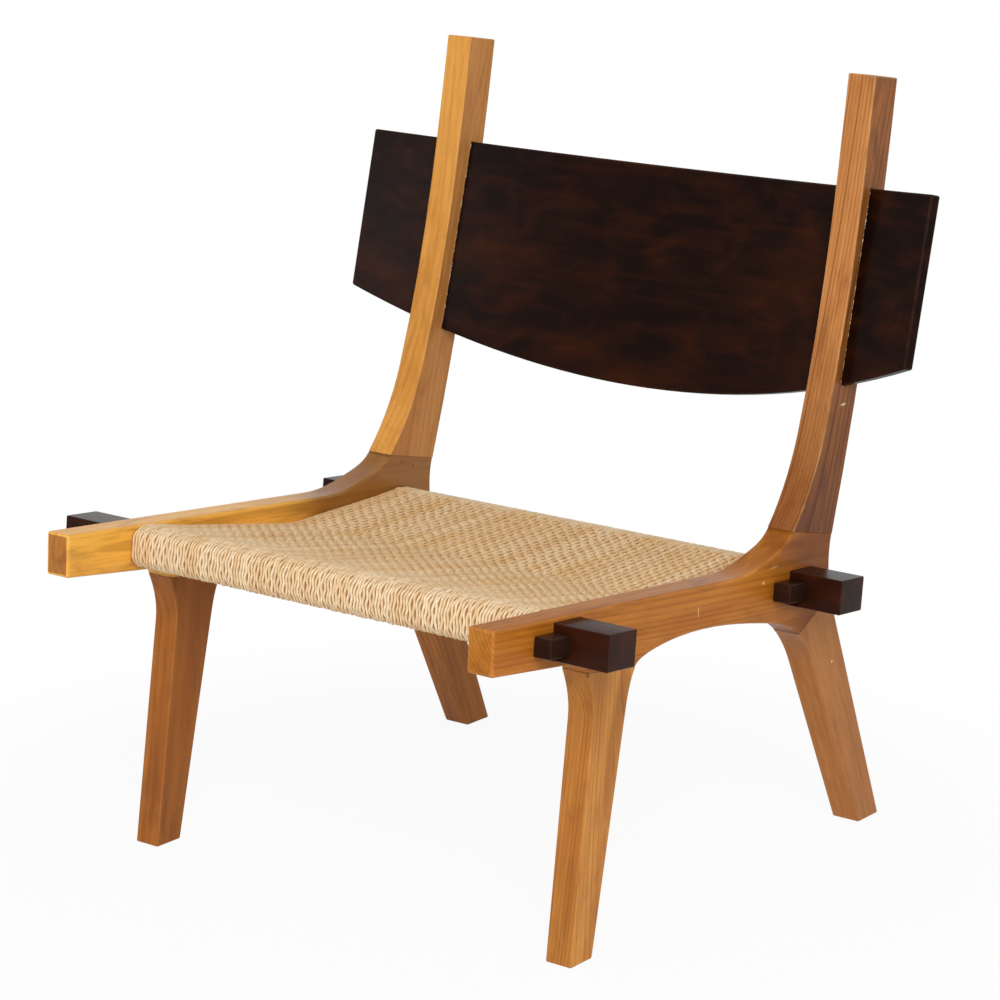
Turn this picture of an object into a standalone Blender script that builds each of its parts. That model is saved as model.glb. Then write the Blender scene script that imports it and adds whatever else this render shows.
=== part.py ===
import math
from collections import namedtuple

import bmesh
import bpy
from mathutils import Matrix, Vector

# Sizes in metres, angles in degrees. +Z is up, the sitter faces -Y, the sitter's left is +X.
# S is the distance back from the front end of the seat rails.

# fits
GAP = 0.0003               # between pieces that touch

# side frames
FRAME_MIDDLE = 0.294       # middle of the chair to a frame's middle, level with the front stretcher
FRAME_FRONT_THICKNESS = 0.0328   # at the front end of the rail
FRAME_REAR_THICKNESS = 0.036     # at the post's joint; a frame thickens evenly towards the back
FRAME_LEAN = 0.0088        # the frames lean in towards the top, run over rise
FRAME_EDGE = 0.0018        # rounding of legs and posts
FRAME_EDGE_STEPS = 2
FRAME_STEPS = 7            # facets along each curve of an outline
ROUNDED_ANGLE = 35.0       # edges that turn by more than this are rounded
SHARP_ANGLE = 30.0         # edges that turn by more than this are shaded sharp

# seat rail
RAIL_EDGE = 0.003          # rounding of the rail
RAIL_EDGE_STEPS = 3
RAIL_FRONT_Z = 0.408       # height of the top edge at the front end
RAIL_FRONT_HEIGHT = 0.0495
RAIL_FRONT_RAKE = 0.0017   # the front end leans back by this at the top
RAIL_SLOPE = 0.088         # fall of the top edge towards the back
RAIL_UNDER_SLOPE = 0.128   # fall of the lower edge in front of the leg
RAIL_RISE_RUN = 0.169      # length of the curve that climbs to the post
RAIL_RISE_MIDDLE = 0.097   # a place on that curve, in front of the post's middle
RAIL_RISE_HEIGHT = 0.0135  # its height over the straight top line
RAIL_RISE_ANGLE = 15.0
ARCH_RUN = 0.132           # front leg's middle to the highest point of the arch
ARCH_HEIGHT = 0.0527       # rail height over that point
ARCH_HOLD = 0.38           # the arch keeps level there for this share of its run
ARCH_BACK_RUN = 0.1175     # a low place on the arch, in front of the rear leg's middle
ARCH_BACK_HEIGHT = 0.060
ARCH_BACK_ANGLE = -12.5
NECK_RUN = 0.0395          # post's middle to the narrow place behind the rear tenon
NECK_RAISE = 0.006

# front leg
FRONT_LEG_S = 0.213        # middle of the joint
FRONT_LEG_WIDTH = 0.091
FRONT_LEG_DROP = 0.0712    # joint below the rail's top edge
FRONT_LEG_FALL = 0.006     # the joint falls by this more than the rail does
FRONT_LEG_FILLET = 0.0505  # run of the curve from the rail's lower edge
FRONT_LEG_FRONT_ANGLE = -64.0
FRONT_LEG_BACK_ANGLE = 54.0
FRONT_LEG_BACK_HOLD = 0.14 # the curve above keeps to that angle for this share of its run
FRONT_LEG_FLARE = 0.058    # height of the flared stretch below the joint
FRONT_LEG_FRONT_IN = 0.0125
FRONT_LEG_BACK_IN = 0.0195
FRONT_FOOT_FORWARD = 0.0465
FRONT_FOOT_WIDTH = 0.040

# rear leg
REAR_LEG_BACK = 0.011      # middle of the joint behind the post's middle
REAR_LEG_WIDTH = 0.069
REAR_LEG_RISE = 0.0365     # the joint climbs by this to the back
REAR_LEG_DROP = 0.063
REAR_LEG_FRONT_ANGLE = -40.0
REAR_LEG_BACK_ANGLE = 107.0
REAR_LEG_FLARE = 0.047
REAR_LEG_FRONT_OUT = 0.037
REAR_LEG_BACK_OUT = 0.018
REAR_FOOT_BACK = 0.1545
REAR_FOOT_WIDTH = 0.046

# back post
POST_S = 0.619            # middle of the joint
POST_WIDTH = 0.087
POST_FALL = 0.0188         # the joint falls by this to the back
POST_RAISE = 0.0348        # joint above the straight top line of the rail
POST_FRONT_ANGLE = 47.0
POST_BACK_ANGLE = 73.0
POST_KNEE_BACK = 0.017     # front edge where the flare ends
POST_KNEE_UP = 0.1115
POST_KNEE_ANGLE = 71.0
POST_TOP_BACK = 0.129
POST_LENGTH = 0.515        # joint to top, upright
POST_TOP_WIDTH = 0.051
POST_TOP_LEAN = 8.0

# dowels in the glued joints
DOWEL_RADIUS = 0.005
DOWEL_SHORT = 0.015        # depth in the rail
DOWEL_LONG = 0.025         # depth in the leg or post
DOWEL_SPACING = 0.040
DOWEL_SIDES = 16

# stretchers
FRONT_STRETCHER_AHEAD = 0.084  # in front of the front leg's middle
REAR_STRETCHER_AHEAD = 0.025   # in front of the post's middle
STRETCHER_DROP = 0.025     # middle of a stretcher below the rail's top line
TENON_WIDTH = 0.050
TENON_HEIGHT = 0.040
TENON_END = 0.381          # middle of the chair to a tenon's end
TENON_EDGE = 0.001
FRONT_WAIST_WIDTH = 0.045  # between the frames, where the cord runs
FRONT_WAIST_HEIGHT = 0.0384
REAR_WAIST_WIDTH = 0.041
REAR_WAIST_HEIGHT = 0.036
WAIST_ROUND = 0.0125
WAIST_STEPS = 6           # facets round a corner of the waist and of the cord on it

# keys
KEY_WIDTH = 0.022
KEY_HEIGHT = 0.0215
KEY_FRONT = 0.035          # in front of the tenon
KEY_BACK = 0.004           # behind the tenon
KEY_EDGE = 0.001

# backrest board
BOARD_HALF_WIDTH = 0.402
BOARD_RADIUS = 1.403       # bend of the front face, hollow to the sitter
BOARD_THICKNESS = 0.014
BOARD_INSET = 0.0208       # behind the post's front edge, at the post's inner face
BOARD_DROP = 0.2235        # reference height, below the post's top
BOARD_ABOVE = 0.092        # from there to the top edge
BOARD_BELOW = 0.178        # from there to the bottom edge in the middle
BOARD_BELLY = 0.0707       # the bottom edge rises by this to the ends
BOARD_EDGE = 0.0025
BOARD_EDGE_STEPS = 3
BOARD_ROUNDED_ANGLE = 50.0
BOARD_STEPS = 32           # facets from end to end

# woven seat
SEAT_THICKNESS = 0.0042
SEAT_CREASE_BACK = 0.2535  # crease across the seat, behind the front stretcher
SEAT_CREASE_DROP = 0.0243  # top of the seat there, below the rail's top line
SEAT_CREASE_RADIUS = 0.150
SEAT_CREASE_STEPS = 6

# places worked out from the sizes
REAR_LEG_S = POST_S + REAR_LEG_BACK
FRONT_FOOT_S = FRONT_LEG_S - FRONT_FOOT_FORWARD
REAR_FOOT_S = POST_S + REAR_FOOT_BACK
FRONT_STRETCHER_S = FRONT_LEG_S - FRONT_STRETCHER_AHEAD
REAR_STRETCHER_S = POST_S - REAR_STRETCHER_AHEAD
OFFSET_Y = -(REAR_FOOT_S + REAR_FOOT_WIDTH / 2) / 2   # puts the origin under the middle
TILT = math.atan(RAIL_SLOPE)
TO_SIDE = Matrix(((0, 0, 1, 0), (1, 0, 0, OFFSET_Y), (0, 1, 0, 0), (0, 0, 0, 1)))
LEVEL_Z = RAIL_FRONT_Z - RAIL_SLOPE * FRONT_STRETCHER_S - STRETCHER_DROP   # the front stretcher's height
LEAN_IN = Matrix(((1, 0, -FRAME_LEAN, FRAME_LEAN * LEVEL_Z), (0, 1, 0, 0), (0, 0, 1, 0), (0, 0, 0, 1)))

# A corner of an outline: its place, the angles at which the edge arrives and leaves, and how far
# each curve keeps to that angle, as a share of the step. No angle means a straight edge.
Anchor = namedtuple("Anchor", "place arrive leave hold_in hold_out", defaults=(None, None, 1 / 3, 1 / 3))

# The part of a stretcher between the frames: where its middle is, and its section.
Waist = namedtuple("Waist", "s width height")
FRONT_WAIST = Waist(FRONT_STRETCHER_S, FRONT_WAIST_WIDTH, FRONT_WAIST_HEIGHT)
REAR_WAIST = Waist(REAR_STRETCHER_S, REAR_WAIST_WIDTH, REAR_WAIST_HEIGHT)

for old in list(bpy.data.objects):
    bpy.data.objects.remove(old, do_unlink=True)

chair = bpy.data.collections.new("teak_lounge_chair")
bpy.context.scene.collection.children.link(chair)
cutters = bpy.data.collections.new("cutters")
bpy.context.scene.collection.children.link(cutters)
cutters.hide_render = True


def make_material(name, colour, roughness):
    material = bpy.data.materials.new(name)
    material.use_nodes = True
    shader = material.node_tree.nodes["Principled BSDF"]
    shader.inputs["Base Color"].default_value = (*colour, 1.0)
    shader.inputs["Roughness"].default_value = roughness
    shader.inputs["Metallic"].default_value = 0.0
    return material


TEAK = make_material("teak", (0.46, 0.22, 0.07), 0.45)
DARK = make_material("dark_wood", (0.022, 0.010, 0.007), 0.25)
PALE = make_material("dowel_wood", (0.55, 0.38, 0.20), 0.60)
CORD = make_material("cord", (0.66, 0.46, 0.24), 0.80)


def add_object(name, mesh, material):
    item = bpy.data.objects.new(name, mesh)
    item.data.materials.clear()
    item.data.materials.append(material)
    item.data.shade_smooth()
    item.data.set_sharp_from_angle(angle=math.radians(SHARP_ANGLE))
    chair.objects.link(item)
    return item


def add_cutter(name, mesh):
    cutter = bpy.data.objects.new(name, mesh)
    cutters.objects.link(cutter)
    cutter.display_type = "WIRE"
    cutter.hide_render = True
    return cutter


def cut(item, cutter):
    modifier = item.modifiers.new("cut_" + cutter.name, "BOOLEAN")
    modifier.operation = "DIFFERENCE"
    modifier.solver = "EXACT"
    modifier.object = cutter


def direction(degrees):
    return Vector((math.cos(math.radians(degrees)), math.sin(math.radians(degrees))))


def angle_to(start, end):
    return math.degrees(math.atan2(end.y - start.y, end.x - start.x))


def rail_top(s):
    return RAIL_FRONT_Z - RAIL_SLOPE * s


def frame_half(s):
    # half the thickness of a side frame
    return (FRAME_FRONT_THICKNESS + (FRAME_REAR_THICKNESS - FRAME_FRONT_THICKNESS) * s / POST_S) / 2


def inner_face(s):
    # middle of the chair to a frame's inner face
    return FRAME_MIDDLE - frame_half(s)


def outer_face(s):
    return FRAME_MIDDLE + frame_half(s)


def seat_half(s):
    # the seat keeps clear of the frames
    return inner_face(s) - 2 * GAP


def handles(anchors, i):
    # the two curve handles of an outline's corner
    place, arrive, leave, hold_in, hold_out = anchors[i]
    before = anchors[i - 1].place - place
    after = anchors[(i + 1) % len(anchors)].place - place
    left = before * hold_in if arrive is None else -direction(arrive) * before.length * hold_in
    right = after * hold_out if leave is None else direction(leave) * after.length * hold_out
    return place + left, place + right


def outline_mesh(name, anchors, half, steps):
    # flat outline, extruded to both sides by a half thickness that depends on S
    curve = bpy.data.curves.new(name, "CURVE")
    curve.dimensions = "2D"
    curve.fill_mode = "BOTH"
    curve.extrude = half(0.0)
    curve.resolution_u = steps
    spline = curve.splines.new("BEZIER")
    spline.bezier_points.add(len(anchors) - 1)
    spline.use_cyclic_u = True
    for i, (knot, anchor) in enumerate(zip(spline.bezier_points, anchors)):
        left, right = handles(anchors, i)
        knot.handle_left_type = "VECTOR" if anchor.arrive is None else "FREE"
        knot.handle_right_type = "VECTOR" if anchor.leave is None else "FREE"
        knot.co = (*anchor.place, 0)
        knot.handle_left = (*left, 0)
        knot.handle_right = (*right, 0)
    shape = bpy.data.objects.new(name, curve)
    mesh = bpy.data.meshes.new_from_object(shape)
    bpy.data.objects.remove(shape)
    bpy.data.curves.remove(curve)
    work = bmesh.new()
    work.from_mesh(mesh)
    bmesh.ops.remove_doubles(work, verts=work.verts, dist=0.00001)
    bmesh.ops.dissolve_limit(work, angle_limit=0.0005, verts=work.verts, edges=work.edges)
    bmesh.ops.recalc_face_normals(work, faces=work.faces)
    for vert in work.verts:
        vert.co.z = math.copysign(half(vert.co.x), vert.co.z)
    work.to_mesh(mesh)
    work.free()
    mesh.name = name
    return mesh


def round_edges(mesh, size, segments, sharpest, keep=None):
    # rounds the edges that turn by more than the given angle, apart from those that keep() claims
    work = bmesh.new()
    work.from_mesh(mesh)
    chosen = []
    for edge in work.edges:
        if edge.calc_face_angle(0.0) > math.radians(sharpest):
            if keep is None or not keep(edge.verts[0].co, edge.verts[1].co):
                chosen.append(edge)
    bmesh.ops.bevel(work, geom=chosen, offset=size, segments=segments, profile=0.5, affect="EDGES",
                    clamp_overlap=True)
    bmesh.ops.remove_doubles(work, verts=work.verts, dist=0.00001)
    bmesh.ops.dissolve_degenerate(work, dist=0.00001, edges=work.edges)
    bmesh.ops.recalc_face_normals(work, faces=work.faces)
    work.to_mesh(mesh)
    work.free()


def on_joint(joint):
    # claims the edges that lie on a joint line of an outline
    start, end = joint
    along = (end - start).normalized()

    def off_line(point):
        away = point.xy - start
        return abs(away.x * along.y - away.y * along.x)

    return lambda first, second: max(off_line(first), off_line(second)) < 0.00002


def on_any(joints):
    tests = [on_joint(joint) for joint in joints]
    return lambda first, second: any(test(first, second) for test in tests)


def box_mesh(name, size):
    mesh = bpy.data.meshes.new(name)
    work = bmesh.new()
    bmesh.ops.create_cube(work, size=1.0)
    bmesh.ops.scale(work, vec=size, verts=work.verts)
    work.to_mesh(mesh)
    work.free()
    return mesh


def bar_mesh(name, size, radius, steps):
    # bar along X with its long edges rounded
    mesh = box_mesh(name, size)
    work = bmesh.new()
    work.from_mesh(mesh)
    long_edges = [e for e in work.edges if abs(e.verts[0].co.x - e.verts[1].co.x) > size[0] / 2]
    bmesh.ops.bevel(work, geom=long_edges, offset=radius, segments=steps, profile=0.5, affect="EDGES")
    work.to_mesh(mesh)
    work.free()
    return mesh


def cylinder_mesh(name, radius, length):
    mesh = bpy.data.meshes.new(name)
    work = bmesh.new()
    bmesh.ops.create_cone(work, cap_ends=True, segments=DOWEL_SIDES, radius1=radius, radius2=radius,
                          depth=length)
    work.to_mesh(mesh)
    work.free()
    return mesh


def mirrored(name, mesh):
    copy = mesh.copy()
    copy.name = name
    copy.transform(Matrix.Scale(-1, 4, (1, 0, 0)))
    copy.flip_normals()
    return copy


# Joint lines of a side frame, each from its front end to its back end.
def joint_line(s, z, width, rise):
    half = Vector((width / 2, rise / 2))
    return Vector((s, z)) - half, Vector((s, z)) + half


def joint_normal(joint):
    along = (joint[1] - joint[0]).normalized()
    return Vector((-along.y, along.x))


def moved(joint, distance):
    return [point + joint_normal(joint) * distance for point in joint]


front_fall = RAIL_SLOPE * FRONT_LEG_WIDTH + FRONT_LEG_FALL
front_joint = joint_line(FRONT_LEG_S, rail_top(FRONT_LEG_S) - FRONT_LEG_DROP, FRONT_LEG_WIDTH, -front_fall)
rear_joint = joint_line(REAR_LEG_S, rail_top(REAR_LEG_S) - REAR_LEG_DROP, REAR_LEG_WIDTH, REAR_LEG_RISE)
post_joint = joint_line(POST_S, rail_top(POST_S) + POST_RAISE, POST_WIDTH, -POST_FALL)


def rail_outline():
    # front end, lower edge, front leg stub, arch, rear leg stub, neck, post stub, climbing curve
    level = math.degrees(-TILT)
    low_front = RAIL_FRONT_Z - RAIL_FRONT_HEIGHT
    fillet_s = front_joint[0].x - FRONT_LEG_FILLET
    arch_s = FRONT_LEG_S + ARCH_RUN
    arch_back_s = REAR_LEG_S - ARCH_BACK_RUN
    neck_z = (post_joint[1].y + rear_joint[1].y) / 2 + NECK_RAISE
    rise_s = POST_S - RAIL_RISE_MIDDLE
    straight_s = POST_S - RAIL_RISE_RUN
    climb = 180.0 + RAIL_RISE_ANGLE
    return [
        Anchor(Vector((RAIL_FRONT_RAKE, RAIL_FRONT_Z))),
        Anchor(Vector((0.0, low_front))),
        Anchor(Vector((fillet_s, low_front - RAIL_UNDER_SLOPE * fillet_s)),
               None, -math.degrees(math.atan(RAIL_UNDER_SLOPE))),
        Anchor(front_joint[0], FRONT_LEG_FRONT_ANGLE, None),
        Anchor(front_joint[1], None, FRONT_LEG_BACK_ANGLE, hold_out=FRONT_LEG_BACK_HOLD),
        Anchor(Vector((arch_s, rail_top(arch_s) - ARCH_HEIGHT)), 0.0, 0.0, hold_in=ARCH_HOLD),
        Anchor(Vector((arch_back_s, rail_top(arch_back_s) - ARCH_BACK_HEIGHT)),
               ARCH_BACK_ANGLE, ARCH_BACK_ANGLE),
        Anchor(rear_joint[0], REAR_LEG_FRONT_ANGLE, None),
        Anchor(rear_joint[1], None, REAR_LEG_BACK_ANGLE),
        Anchor(Vector((POST_S + NECK_RUN, neck_z)), 90.0, 90.0),
        Anchor(post_joint[1], POST_BACK_ANGLE, None),
        Anchor(post_joint[0], None, 180.0 + POST_FRONT_ANGLE),
        Anchor(Vector((rise_s, rail_top(rise_s) + RAIL_RISE_HEIGHT)), climb, climb),
        Anchor(Vector((straight_s, rail_top(straight_s))), 180.0 + level, None),
    ]


def leg_outline(joint, toe, heel, shin, calf, front_angle, back_angle):
    return [
        Anchor(joint[0], None, front_angle),
        Anchor(shin, angle_to(shin, toe), None),
        Anchor(toe),
        Anchor(heel),
        Anchor(calf, None, angle_to(heel, calf)),
        Anchor(joint[1], back_angle, None),
    ]


def foot(s, width):
    return Vector((s - width / 2, 0.0)), Vector((s + width / 2, 0.0))


def front_leg_outline(joint):
    shin = joint[0] + Vector((FRONT_LEG_FRONT_IN, -FRONT_LEG_FLARE))
    calf = joint[1] + Vector((-FRONT_LEG_BACK_IN, -FRONT_LEG_FLARE))
    return leg_outline(joint, *foot(FRONT_FOOT_S, FRONT_FOOT_WIDTH), shin, calf,
                       FRONT_LEG_FRONT_ANGLE, FRONT_LEG_BACK_ANGLE)


def rear_leg_outline(joint):
    shin = joint[0] + Vector((REAR_LEG_FRONT_OUT, -REAR_LEG_FLARE))
    calf = joint[1] + Vector((REAR_LEG_BACK_OUT, -REAR_LEG_FLARE))
    return leg_outline(joint, *foot(REAR_FOOT_S, REAR_FOOT_WIDTH), shin, calf,
                       REAR_LEG_FRONT_ANGLE, REAR_LEG_BACK_ANGLE)


def post_outline(joint):
    # flared foot, gentle forward curve, top cut square to its length
    middle = (joint[0] + joint[1]) / 2
    top = middle + Vector((POST_TOP_BACK, POST_LENGTH))
    across = direction(-POST_TOP_LEAN) * POST_TOP_WIDTH / 2
    knee = middle + Vector((POST_KNEE_BACK, POST_KNEE_UP))
    return [
        Anchor(joint[0], None, POST_FRONT_ANGLE),
        Anchor(knee, POST_KNEE_ANGLE, POST_KNEE_ANGLE),
        Anchor(top - across, 90.0 - POST_TOP_LEAN, None),
        Anchor(top + across, None, -90.0 - POST_TOP_LEAN),
        Anchor(joint[1], POST_BACK_ANGLE - 180.0, None),
    ]


def add_frame_piece(name, anchors, joints, edge=FRAME_EDGE, edge_steps=FRAME_EDGE_STEPS):
    # the left piece and its mirror image
    mesh = outline_mesh("left_" + name, anchors, frame_half, FRAME_STEPS)
    round_edges(mesh, edge, edge_steps, ROUNDED_ANGLE, on_any(joints))
    mesh.transform(LEAN_IN @ Matrix.Translation((FRAME_MIDDLE, 0, 0)) @ TO_SIDE)
    left = add_object("left_" + name, mesh, TEAK)
    right = add_object("right_" + name, mirrored("right_" + name, mesh), TEAK)
    return left, right


front_leg_top = moved(front_joint, -GAP)
rear_leg_top = moved(rear_joint, -GAP)
post_foot = moved(post_joint, GAP)
post_anchors = post_outline(post_foot)
rails = add_frame_piece("seat_rail", rail_outline(), [front_joint, rear_joint, post_joint], RAIL_EDGE,
                        RAIL_EDGE_STEPS)
front_legs = add_frame_piece("front_leg", front_leg_outline(front_leg_top), [front_leg_top])
rear_legs = add_frame_piece("rear_leg", rear_leg_outline(rear_leg_top), [rear_leg_top])
posts = add_frame_piece("back_post", post_anchors, [post_foot])


# Dowels: two across each joint, in holes with a gap all round.
def dowel_places(joint, into_rail):
    # middle of each dowel and its turn, with the short end in the rail
    along = (joint[1] - joint[0]).normalized()
    middle = (joint[0] + joint[1]) / 2 + into_rail * (DOWEL_SHORT - DOWEL_LONG) / 2
    turn = Matrix.Rotation(math.atan2(into_rail.y, into_rail.x) - math.pi / 2, 4, "X")
    for sign in (-1, 1):
        yield middle + along * sign * DOWEL_SPACING / 2, turn


def add_dowels(name, joint, into_rail, joined):
    length = DOWEL_SHORT + DOWEL_LONG
    for number, (middle, turn) in enumerate(dowel_places(joint, into_rail), 1):
        for side, word in enumerate(("left", "right")):
            x = FRAME_MIDDLE if word == "left" else -FRAME_MIDDLE
            place = Matrix.Translation((x, middle.x + OFFSET_Y, middle.y)) @ turn
            label = "%s_%s_dowel_%d" % (word, name, number)
            dowel = add_object(label, cylinder_mesh(label, DOWEL_RADIUS, length), PALE)
            dowel.matrix_world = place
            hole = add_cutter(label + "_hole", cylinder_mesh(label, DOWEL_RADIUS + GAP, length + 2 * GAP))
            hole.matrix_world = place
            cut(rails[side], hole)
            cut(joined[side], hole)


add_dowels("front_leg", front_joint, joint_normal(front_joint), front_legs)
add_dowels("rear_leg", rear_joint, joint_normal(rear_joint), rear_legs)
add_dowels("post", post_joint, -joint_normal(post_joint), posts)


# Stretchers: a waist between the frames, tenons through the rails, a mortise for each key.
def stretcher_place(s):
    middle = Matrix.Translation((0, s + OFFSET_Y, rail_top(s) - STRETCHER_DROP))
    return middle @ Matrix.Rotation(-TILT, 4, "X")


def add_stretcher(name, place, section):
    blank = box_mesh(name, (2 * TENON_END, TENON_WIDTH, TENON_HEIGHT))
    round_edges(blank, TENON_EDGE, 1, ROUNDED_ANGLE)
    stretcher = add_object(name, blank, DARK)
    stretcher.matrix_world = place
    # what is taken off between the frames: a thick sleeve round the waist
    sleeve_size = (2 * inner_face(section.s), 2 * TENON_WIDTH, 2 * TENON_HEIGHT)
    sleeve = add_cutter(name + "_sleeve", box_mesh(name, sleeve_size))
    sleeve.matrix_world = place
    waist_size = (3 * TENON_END, section.width, section.height)
    waist = add_cutter(name + "_waist", bar_mesh(name, waist_size, WAIST_ROUND, WAIST_STEPS))
    waist.matrix_world = place
    cut(sleeve, waist)
    cut(stretcher, sleeve)
    for rail in rails:
        mortise_size = (3 * TENON_END, TENON_WIDTH + 2 * GAP, TENON_HEIGHT + 2 * GAP)
        mortise = add_cutter("%s_%s_mortise" % (name, rail.name), box_mesh(name, mortise_size))
        mortise.matrix_world = place
        cut(rail, mortise)
    return stretcher


def key_middle(place, section):
    # the key clears the rail's leaning outer face at its own lowest corner, behind the tenon
    behind = TENON_WIDTH / 2 + KEY_BACK
    low = place.translation.z - KEY_HEIGHT / 2 - RAIL_SLOPE * behind
    return outer_face(section.s + behind) + FRAME_LEAN * (LEVEL_Z - low) + GAP + KEY_WIDTH / 2


def add_key(name, stretcher, place, section, side):
    size = Vector((KEY_WIDTH, KEY_FRONT + TENON_WIDTH + KEY_BACK, KEY_HEIGHT))
    blank = box_mesh(name, size)
    round_edges(blank, KEY_EDGE, 1, ROUNDED_ANGLE)
    key = add_object(name, blank, DARK)
    x = side * key_middle(place, section)
    key.matrix_world = place @ Matrix.Translation((x, (KEY_BACK - KEY_FRONT) / 2, 0))
    hole_size = (KEY_WIDTH + 2 * GAP, 2 * TENON_WIDTH, KEY_HEIGHT + 2 * GAP)
    hole = add_cutter(name + "_mortise", box_mesh(name, hole_size))
    hole.matrix_world = place @ Matrix.Translation((x, 0, 0))
    cut(stretcher, hole)


for end, section in (("front", FRONT_WAIST), ("rear", REAR_WAIST)):
    place = stretcher_place(section.s)
    stretcher = add_stretcher(end + "_stretcher", place, section)
    add_key("left_%s_key" % end, stretcher, place, section, 1)
    add_key("right_%s_key" % end, stretcher, place, section, -1)


# Backrest board: bent, with a bellied lower edge, set through a slot in each post.
def post_front(z):
    # S of the post's front edge at a height above the knee
    knee, top = post_anchors[1], post_anchors[2]
    points = (knee.place, handles(post_anchors, 1)[1], handles(post_anchors, 2)[0], top.place)
    low, high = 0.0, 1.0
    for step in range(40):
        t = (low + high) / 2
        u = 1 - t
        shares = (u ** 3, 3 * u * u * t, 3 * u * t * t, t ** 3)
        spot = sum((point * share for point, share in zip(points, shares)), Vector((0, 0)))
        low, high = (t, high) if spot.y < z else (low, t)
    return spot.x


board_z = (post_anchors[2].place.y + post_anchors[3].place.y) / 2 - BOARD_DROP
slot_top = post_front(board_z + BOARD_ABOVE)
slot_bottom = post_front(board_z + BOARD_BELLY / 2 - BOARD_BELOW)
lean = math.atan2(slot_top - slot_bottom, BOARD_ABOVE + BOARD_BELOW - BOARD_BELLY / 2)
board_up = Vector((0, math.sin(lean), math.cos(lean)))
board_back = Vector((0, math.cos(lean), -math.sin(lean)))
hollow = BOARD_RADIUS - math.sqrt(BOARD_RADIUS ** 2 - inner_face(POST_S) ** 2)
board_middle = Vector((0, post_front(board_z) + BOARD_INSET + hollow / math.cos(lean) + OFFSET_Y, board_z))
board_turn = math.asin(BOARD_HALF_WIDTH / BOARD_RADIUS)


def board_point(angle, height, depth):
    reach = BOARD_RADIUS + depth
    sideways = Vector((reach * math.sin(angle), 0, 0))
    return board_middle + sideways + board_back * (reach * math.cos(angle) - BOARD_RADIUS) + board_up * height


def board_mesh(name, grow):
    # sections from end to end, each grown by the given clearance
    mesh = bpy.data.meshes.new(name)
    work = bmesh.new()
    sections = []
    reach = board_turn + grow / BOARD_RADIUS
    high = BOARD_ABOVE + grow
    thick = BOARD_THICKNESS + grow
    for i in range(BOARD_STEPS + 1):
        share = 2 * i / BOARD_STEPS - 1
        low = BOARD_BELLY * share * share - BOARD_BELOW - grow
        corners = ((low, -grow), (low, thick), (high, thick), (high, -grow))
        sections.append([work.verts.new(board_point(share * reach, h, d)) for h, d in corners])
    for first, second in zip(sections, sections[1:]):
        for k in range(4):
            work.faces.new((first[k], first[k - 1], second[k - 1], second[k]))
    work.faces.new(sections[0])
    work.faces.new(sections[-1])
    bmesh.ops.recalc_face_normals(work, faces=work.faces)
    work.to_mesh(mesh)
    work.free()
    return mesh


board = board_mesh("backrest_board", 0.0)
round_edges(board, BOARD_EDGE, BOARD_EDGE_STEPS, BOARD_ROUNDED_ANGLE)
add_object("backrest_board", board, DARK)
slot = add_cutter("board_slot", board_mesh("board_slot", GAP))
for post in posts:
    cut(post, slot)


# Woven seat: a band of cord that hooks round both stretchers and dips between them.
def corner(waist, back, up):
    # middle of a rounded corner of a waist
    middle = Vector((waist.s, rail_top(waist.s) - STRETCHER_DROP))
    along = Vector((math.cos(TILT), -math.sin(TILT)))
    upward = Vector((math.sin(TILT), math.cos(TILT)))
    run = (waist.width / 2 - WAIST_ROUND) * back
    rise = (waist.height / 2 - WAIST_ROUND) * up
    return middle + along * run + upward * rise


def arc(middle, radius, start, end, steps):
    return [middle + direction(start + (end - start) * i / steps) * radius for i in range(steps + 1)]


def wrap(waist, back, up, start, end, steps=WAIST_STEPS):
    # the cord's middle line round a corner, at angles measured from the rail's own slope
    level = math.degrees(-TILT)
    return arc(corner(waist, back, up), wrap_radius, start + level, end + level, steps)


def touch_angle(point, middle, radius, side):
    # where a line from the point touches a circle, as an angle from the rail's slope
    away = point - middle
    spread = math.degrees(math.acos(radius / away.length))
    return math.degrees(math.atan2(away.y, away.x) + TILT) + side * spread


wrap_radius = WAIST_ROUND + GAP + SEAT_THICKNESS / 2
crease_s = FRONT_STRETCHER_S + SEAT_CREASE_BACK
crease = Vector((crease_s, rail_top(crease_s) - SEAT_CREASE_DROP - SEAT_THICKNESS / 2))
front_off = touch_angle(crease, corner(FRONT_WAIST, 1, 1), wrap_radius, 1)
rear_on = touch_angle(crease, corner(REAR_WAIST, -1, 1), wrap_radius, -1) % 360
front_wrap = wrap(FRONT_WAIST, 1, -1, 0, -90) + wrap(FRONT_WAIST, -1, -1, -90, -180)
front_wrap += wrap(FRONT_WAIST, -1, 1, 180, 90) + wrap(FRONT_WAIST, 1, 1, 90, front_off, 2)
rear_wrap = wrap(REAR_WAIST, -1, 1, rear_on, 90, 2) + wrap(REAR_WAIST, 1, 1, 90, 0)
rear_wrap += wrap(REAR_WAIST, 1, -1, 0, -90) + wrap(REAR_WAIST, -1, -1, -90, -180)


def crease_arc(before, after):
    arriving = (crease - before).normalized()
    leaving = (after - crease).normalized()
    half_turn = arriving.angle(leaving) / 2
    middle = crease + (leaving - arriving).normalized() * SEAT_CREASE_RADIUS / math.cos(half_turn)
    start = math.degrees(math.atan2(arriving.y, arriving.x)) - 90
    end = math.degrees(math.atan2(leaving.y, leaving.x)) - 90
    return arc(middle, SEAT_CREASE_RADIUS, start, end, SEAT_CREASE_STEPS)


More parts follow.
